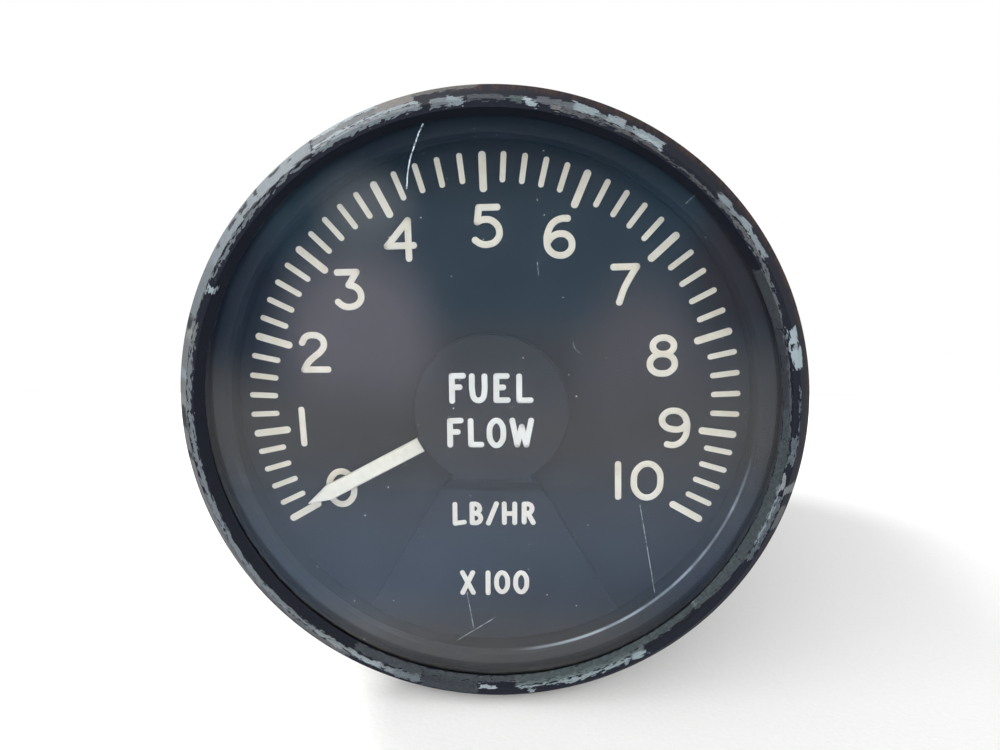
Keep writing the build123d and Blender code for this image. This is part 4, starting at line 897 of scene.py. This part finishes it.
view = {
    "place": (5.18, -108.18, 27.42), "right": (0.99928, 0.03762, -0.00404), "up": (-0.00404, 0.21226, 0.9772),
    "forward": (-0.03762, 0.97649, -0.21226), "lens": 28.8, "sensor": 36,
}
studio = {
    "floorDepth": -41.275, "edgeBehind": 174, "edgeAside": 1500, "floorTone": tone(207, 207, 206),
    # the near tone and the depths after it lay a painted shade on the cloth in front of the gauge
    "weaveTone": tone(202, 202, 200), "nearShadeTone": tone(146, 167, 194), "paintedShade": (-16, -42), "fading": (-40, -135),
    "wall": (0.8, 0.81, 0.82), "window": (5.6, 5.6, 5.6),
    "keyPlace": (-420, 300, 420), "keySize": 300, "keyPower": 6.5,
    # the dim room in front, as slopes of the directions away from the glass: tones by height, then soft patches with
    # their middle across and up, their reach, how much of it is the soft edge, and colour
    "heights": [(-0.42, (0.82, 0.86, 0.94)), (-0.28, (0.72, 0.76, 0.84)), (-0.18, (0.52, 0.58, 0.66)),
                (-0.13, (0.22, 0.42, 0.62)), (-0.02, (0.16, 0.36, 0.54)), (0.05, (0.09, 0.18, 0.28)),
                (0.16, (0.05, 0.09, 0.16))],
    "patches": [
        ((-0.40, -0.26), (0.15, 0.3), 0.3, (0.12, 0.2, 0.34)),
        ((-0.22, -0.19), (0.135, 0.19), 0.6, (1.25, 1.22, 1.42)),
        ((-0.205, -0.01), (0.085, 0.07), 0.9, (1.0, 1.15, 1.3)),
        ((0.14, -0.22), (0.11, 0.17), 0.7, (0.85, 0.84, 0.96)),
        ((0.27, -0.08), (0.11, 0.13), 0.6, (0.26, 0.27, 0.34)),
    ],
}


def makeCamera():
    data = bpy.data.cameras.new("viewer")
    data.sensor_width = view["sensor"]
    data.lens = view["lens"]
    data.clip_start = 0.001
    camera = addObject("viewer", data)
    turn = Matrix((view["right"], view["up"], [-value for value in view["forward"]])).transposed().to_4x4()
    camera.matrix_world = Matrix.Translation(Vector(view["place"]) * mm) @ turn
    bpy.context.scene.camera = camera


def addLamp(name, place, size, power):
    data = bpy.data.lights.new(name, "AREA")
    data.shape = "DISK"
    data.size = size * mm
    data.energy = power
    lamp = addObject(name, data)
    lamp.location = Vector(place) * mm
    lamp.rotation_euler = (-Vector(place)).to_track_quat("-Z", "Y").to_euler()


def makeFloor():
    recipe = Recipe("floorCloth")
    y = recipe.parts(recipe.place)[1]
    weave = recipe.noise(recipe.place, 1.4, 3, 0.6)
    colour = recipe.blend(recipe.remap(weave, 0.3, 0.7, 0, 0.35), studio["floorTone"], studio["weaveTone"])
    # what the camera doesn't see itself, such as the glass's mirror image, finds the cloth with a painted shade in
    # front, darker and bluer where the gauge's own shadow would fall, and fading out, so no hard edge shows in the
    # glass
    mirrored = recipe.calc("SUBTRACT", 1.0, recipe.add("ShaderNodeLightPath").outputs["Is Camera Ray"])
    paintedShade, faded = (recipe.calc("MULTIPLY", mirrored, recipe.remap(y, *studio[key])) for key in ("paintedShade", "fading"))
    recipe.set(base_color=recipe.blend(paintedShade, colour, studio["nearShadeTone"]), roughness=0.9, specular_ior_level=0.1)
    recipe.set(alpha=recipe.calc("SUBTRACT", 1.0, faded))
    recipe.bump(weave, 0.08, 0.5)
    side, back = studio["edgeAside"] * mm, studio["edgeBehind"] * mm
    mesh = bpy.data.meshes.new("floorCloth")
    mesh.from_pydata([(-side, -side, 0), (side, -side, 0), (side, back, 0), (-side, back, 0)], [], [(0, 1, 2, 3)])
    mesh.materials.append(recipe.material)
    floor = addObject("floorCloth", mesh)
    floor.location.z = studio["floorDepth"] * mm


def makeRoom():
    world = bpy.data.worlds.new("studioRoom")
    bpy.context.scene.world = world
    world.use_nodes = True
    world.node_tree.nodes.clear()
    room = Recipe(None, world.node_tree)
    x, y, z = room.parts(room.add("ShaderNodeTexCoord").outputs["Generated"])
    ahead = room.calc("MAXIMUM", room.calc("MULTIPLY", y, -1), 0.001)
    slopeUp = room.calc("DIVIDE", z, ahead)
    slope = room.join(room.calc("DIVIDE", x, ahead), 0, slopeUp)
    heights = studio["heights"]
    lowest, highest = heights[0][0], heights[-1][0]
    colour = room.ramp(room.remap(slopeUp, lowest, highest, smooth=False),
                       [((height - lowest) / (highest - lowest), (*glow, 1)) for height, glow in heights])
    for (across, up), (wide, tall), soft, glow in studio["patches"]:
        offset = room.vector("DIVIDE", room.vector("SUBTRACT", slope, (across, 0, up)), (wide, 1, tall))
        near = room.remap(room.vector("LENGTH", offset), 1, 1 - soft)
        colour = room.blend(near, colour, (*glow, 1))
    # the dim side of the room lies straight ahead of the glass; the rest is white, with a broad window above it
    high = room.calc("MULTIPLY", room.remap(z, 0.16, 0.24), room.remap(z, 0.75, 0.55))
    high = room.calc("MULTIPLY", high, room.remap(y, 0, -0.25))
    bright = room.blend(high, (*studio["wall"], 1), (*studio["window"], 1))
    side = room.remap(room.vector("LENGTH", room.vector("DIVIDE", slope, (1.0, 1, 0.3))), 0.65, 1.0)
    side = room.calc("MAXIMUM", side, room.remap(y, -0.3, -0.1))
    colour = room.blend(side, colour, bright)
    rays = room.add("ShaderNodeLightPath").outputs
    colour = room.blend(rays["Is Camera Ray"], colour, (1, 1, 1, 1))
    background = room.add("ShaderNodeBackground")
    room.feed(background.inputs["Color"], colour)
    room.feed(background.inputs["Strength"], 1.0)
    output = room.add("ShaderNodeOutputWorld")
    room.tree.links.new(background.outputs[0], output.inputs["Surface"])


makeCamera()
makeFloor()
makeRoom()
addLamp("windowLight", studio["keyPlace"], studio["keySize"], studio["keyPower"])
bpy.context.scene.view_settings.view_transform = "Standard"
print("camera, light and floor set")
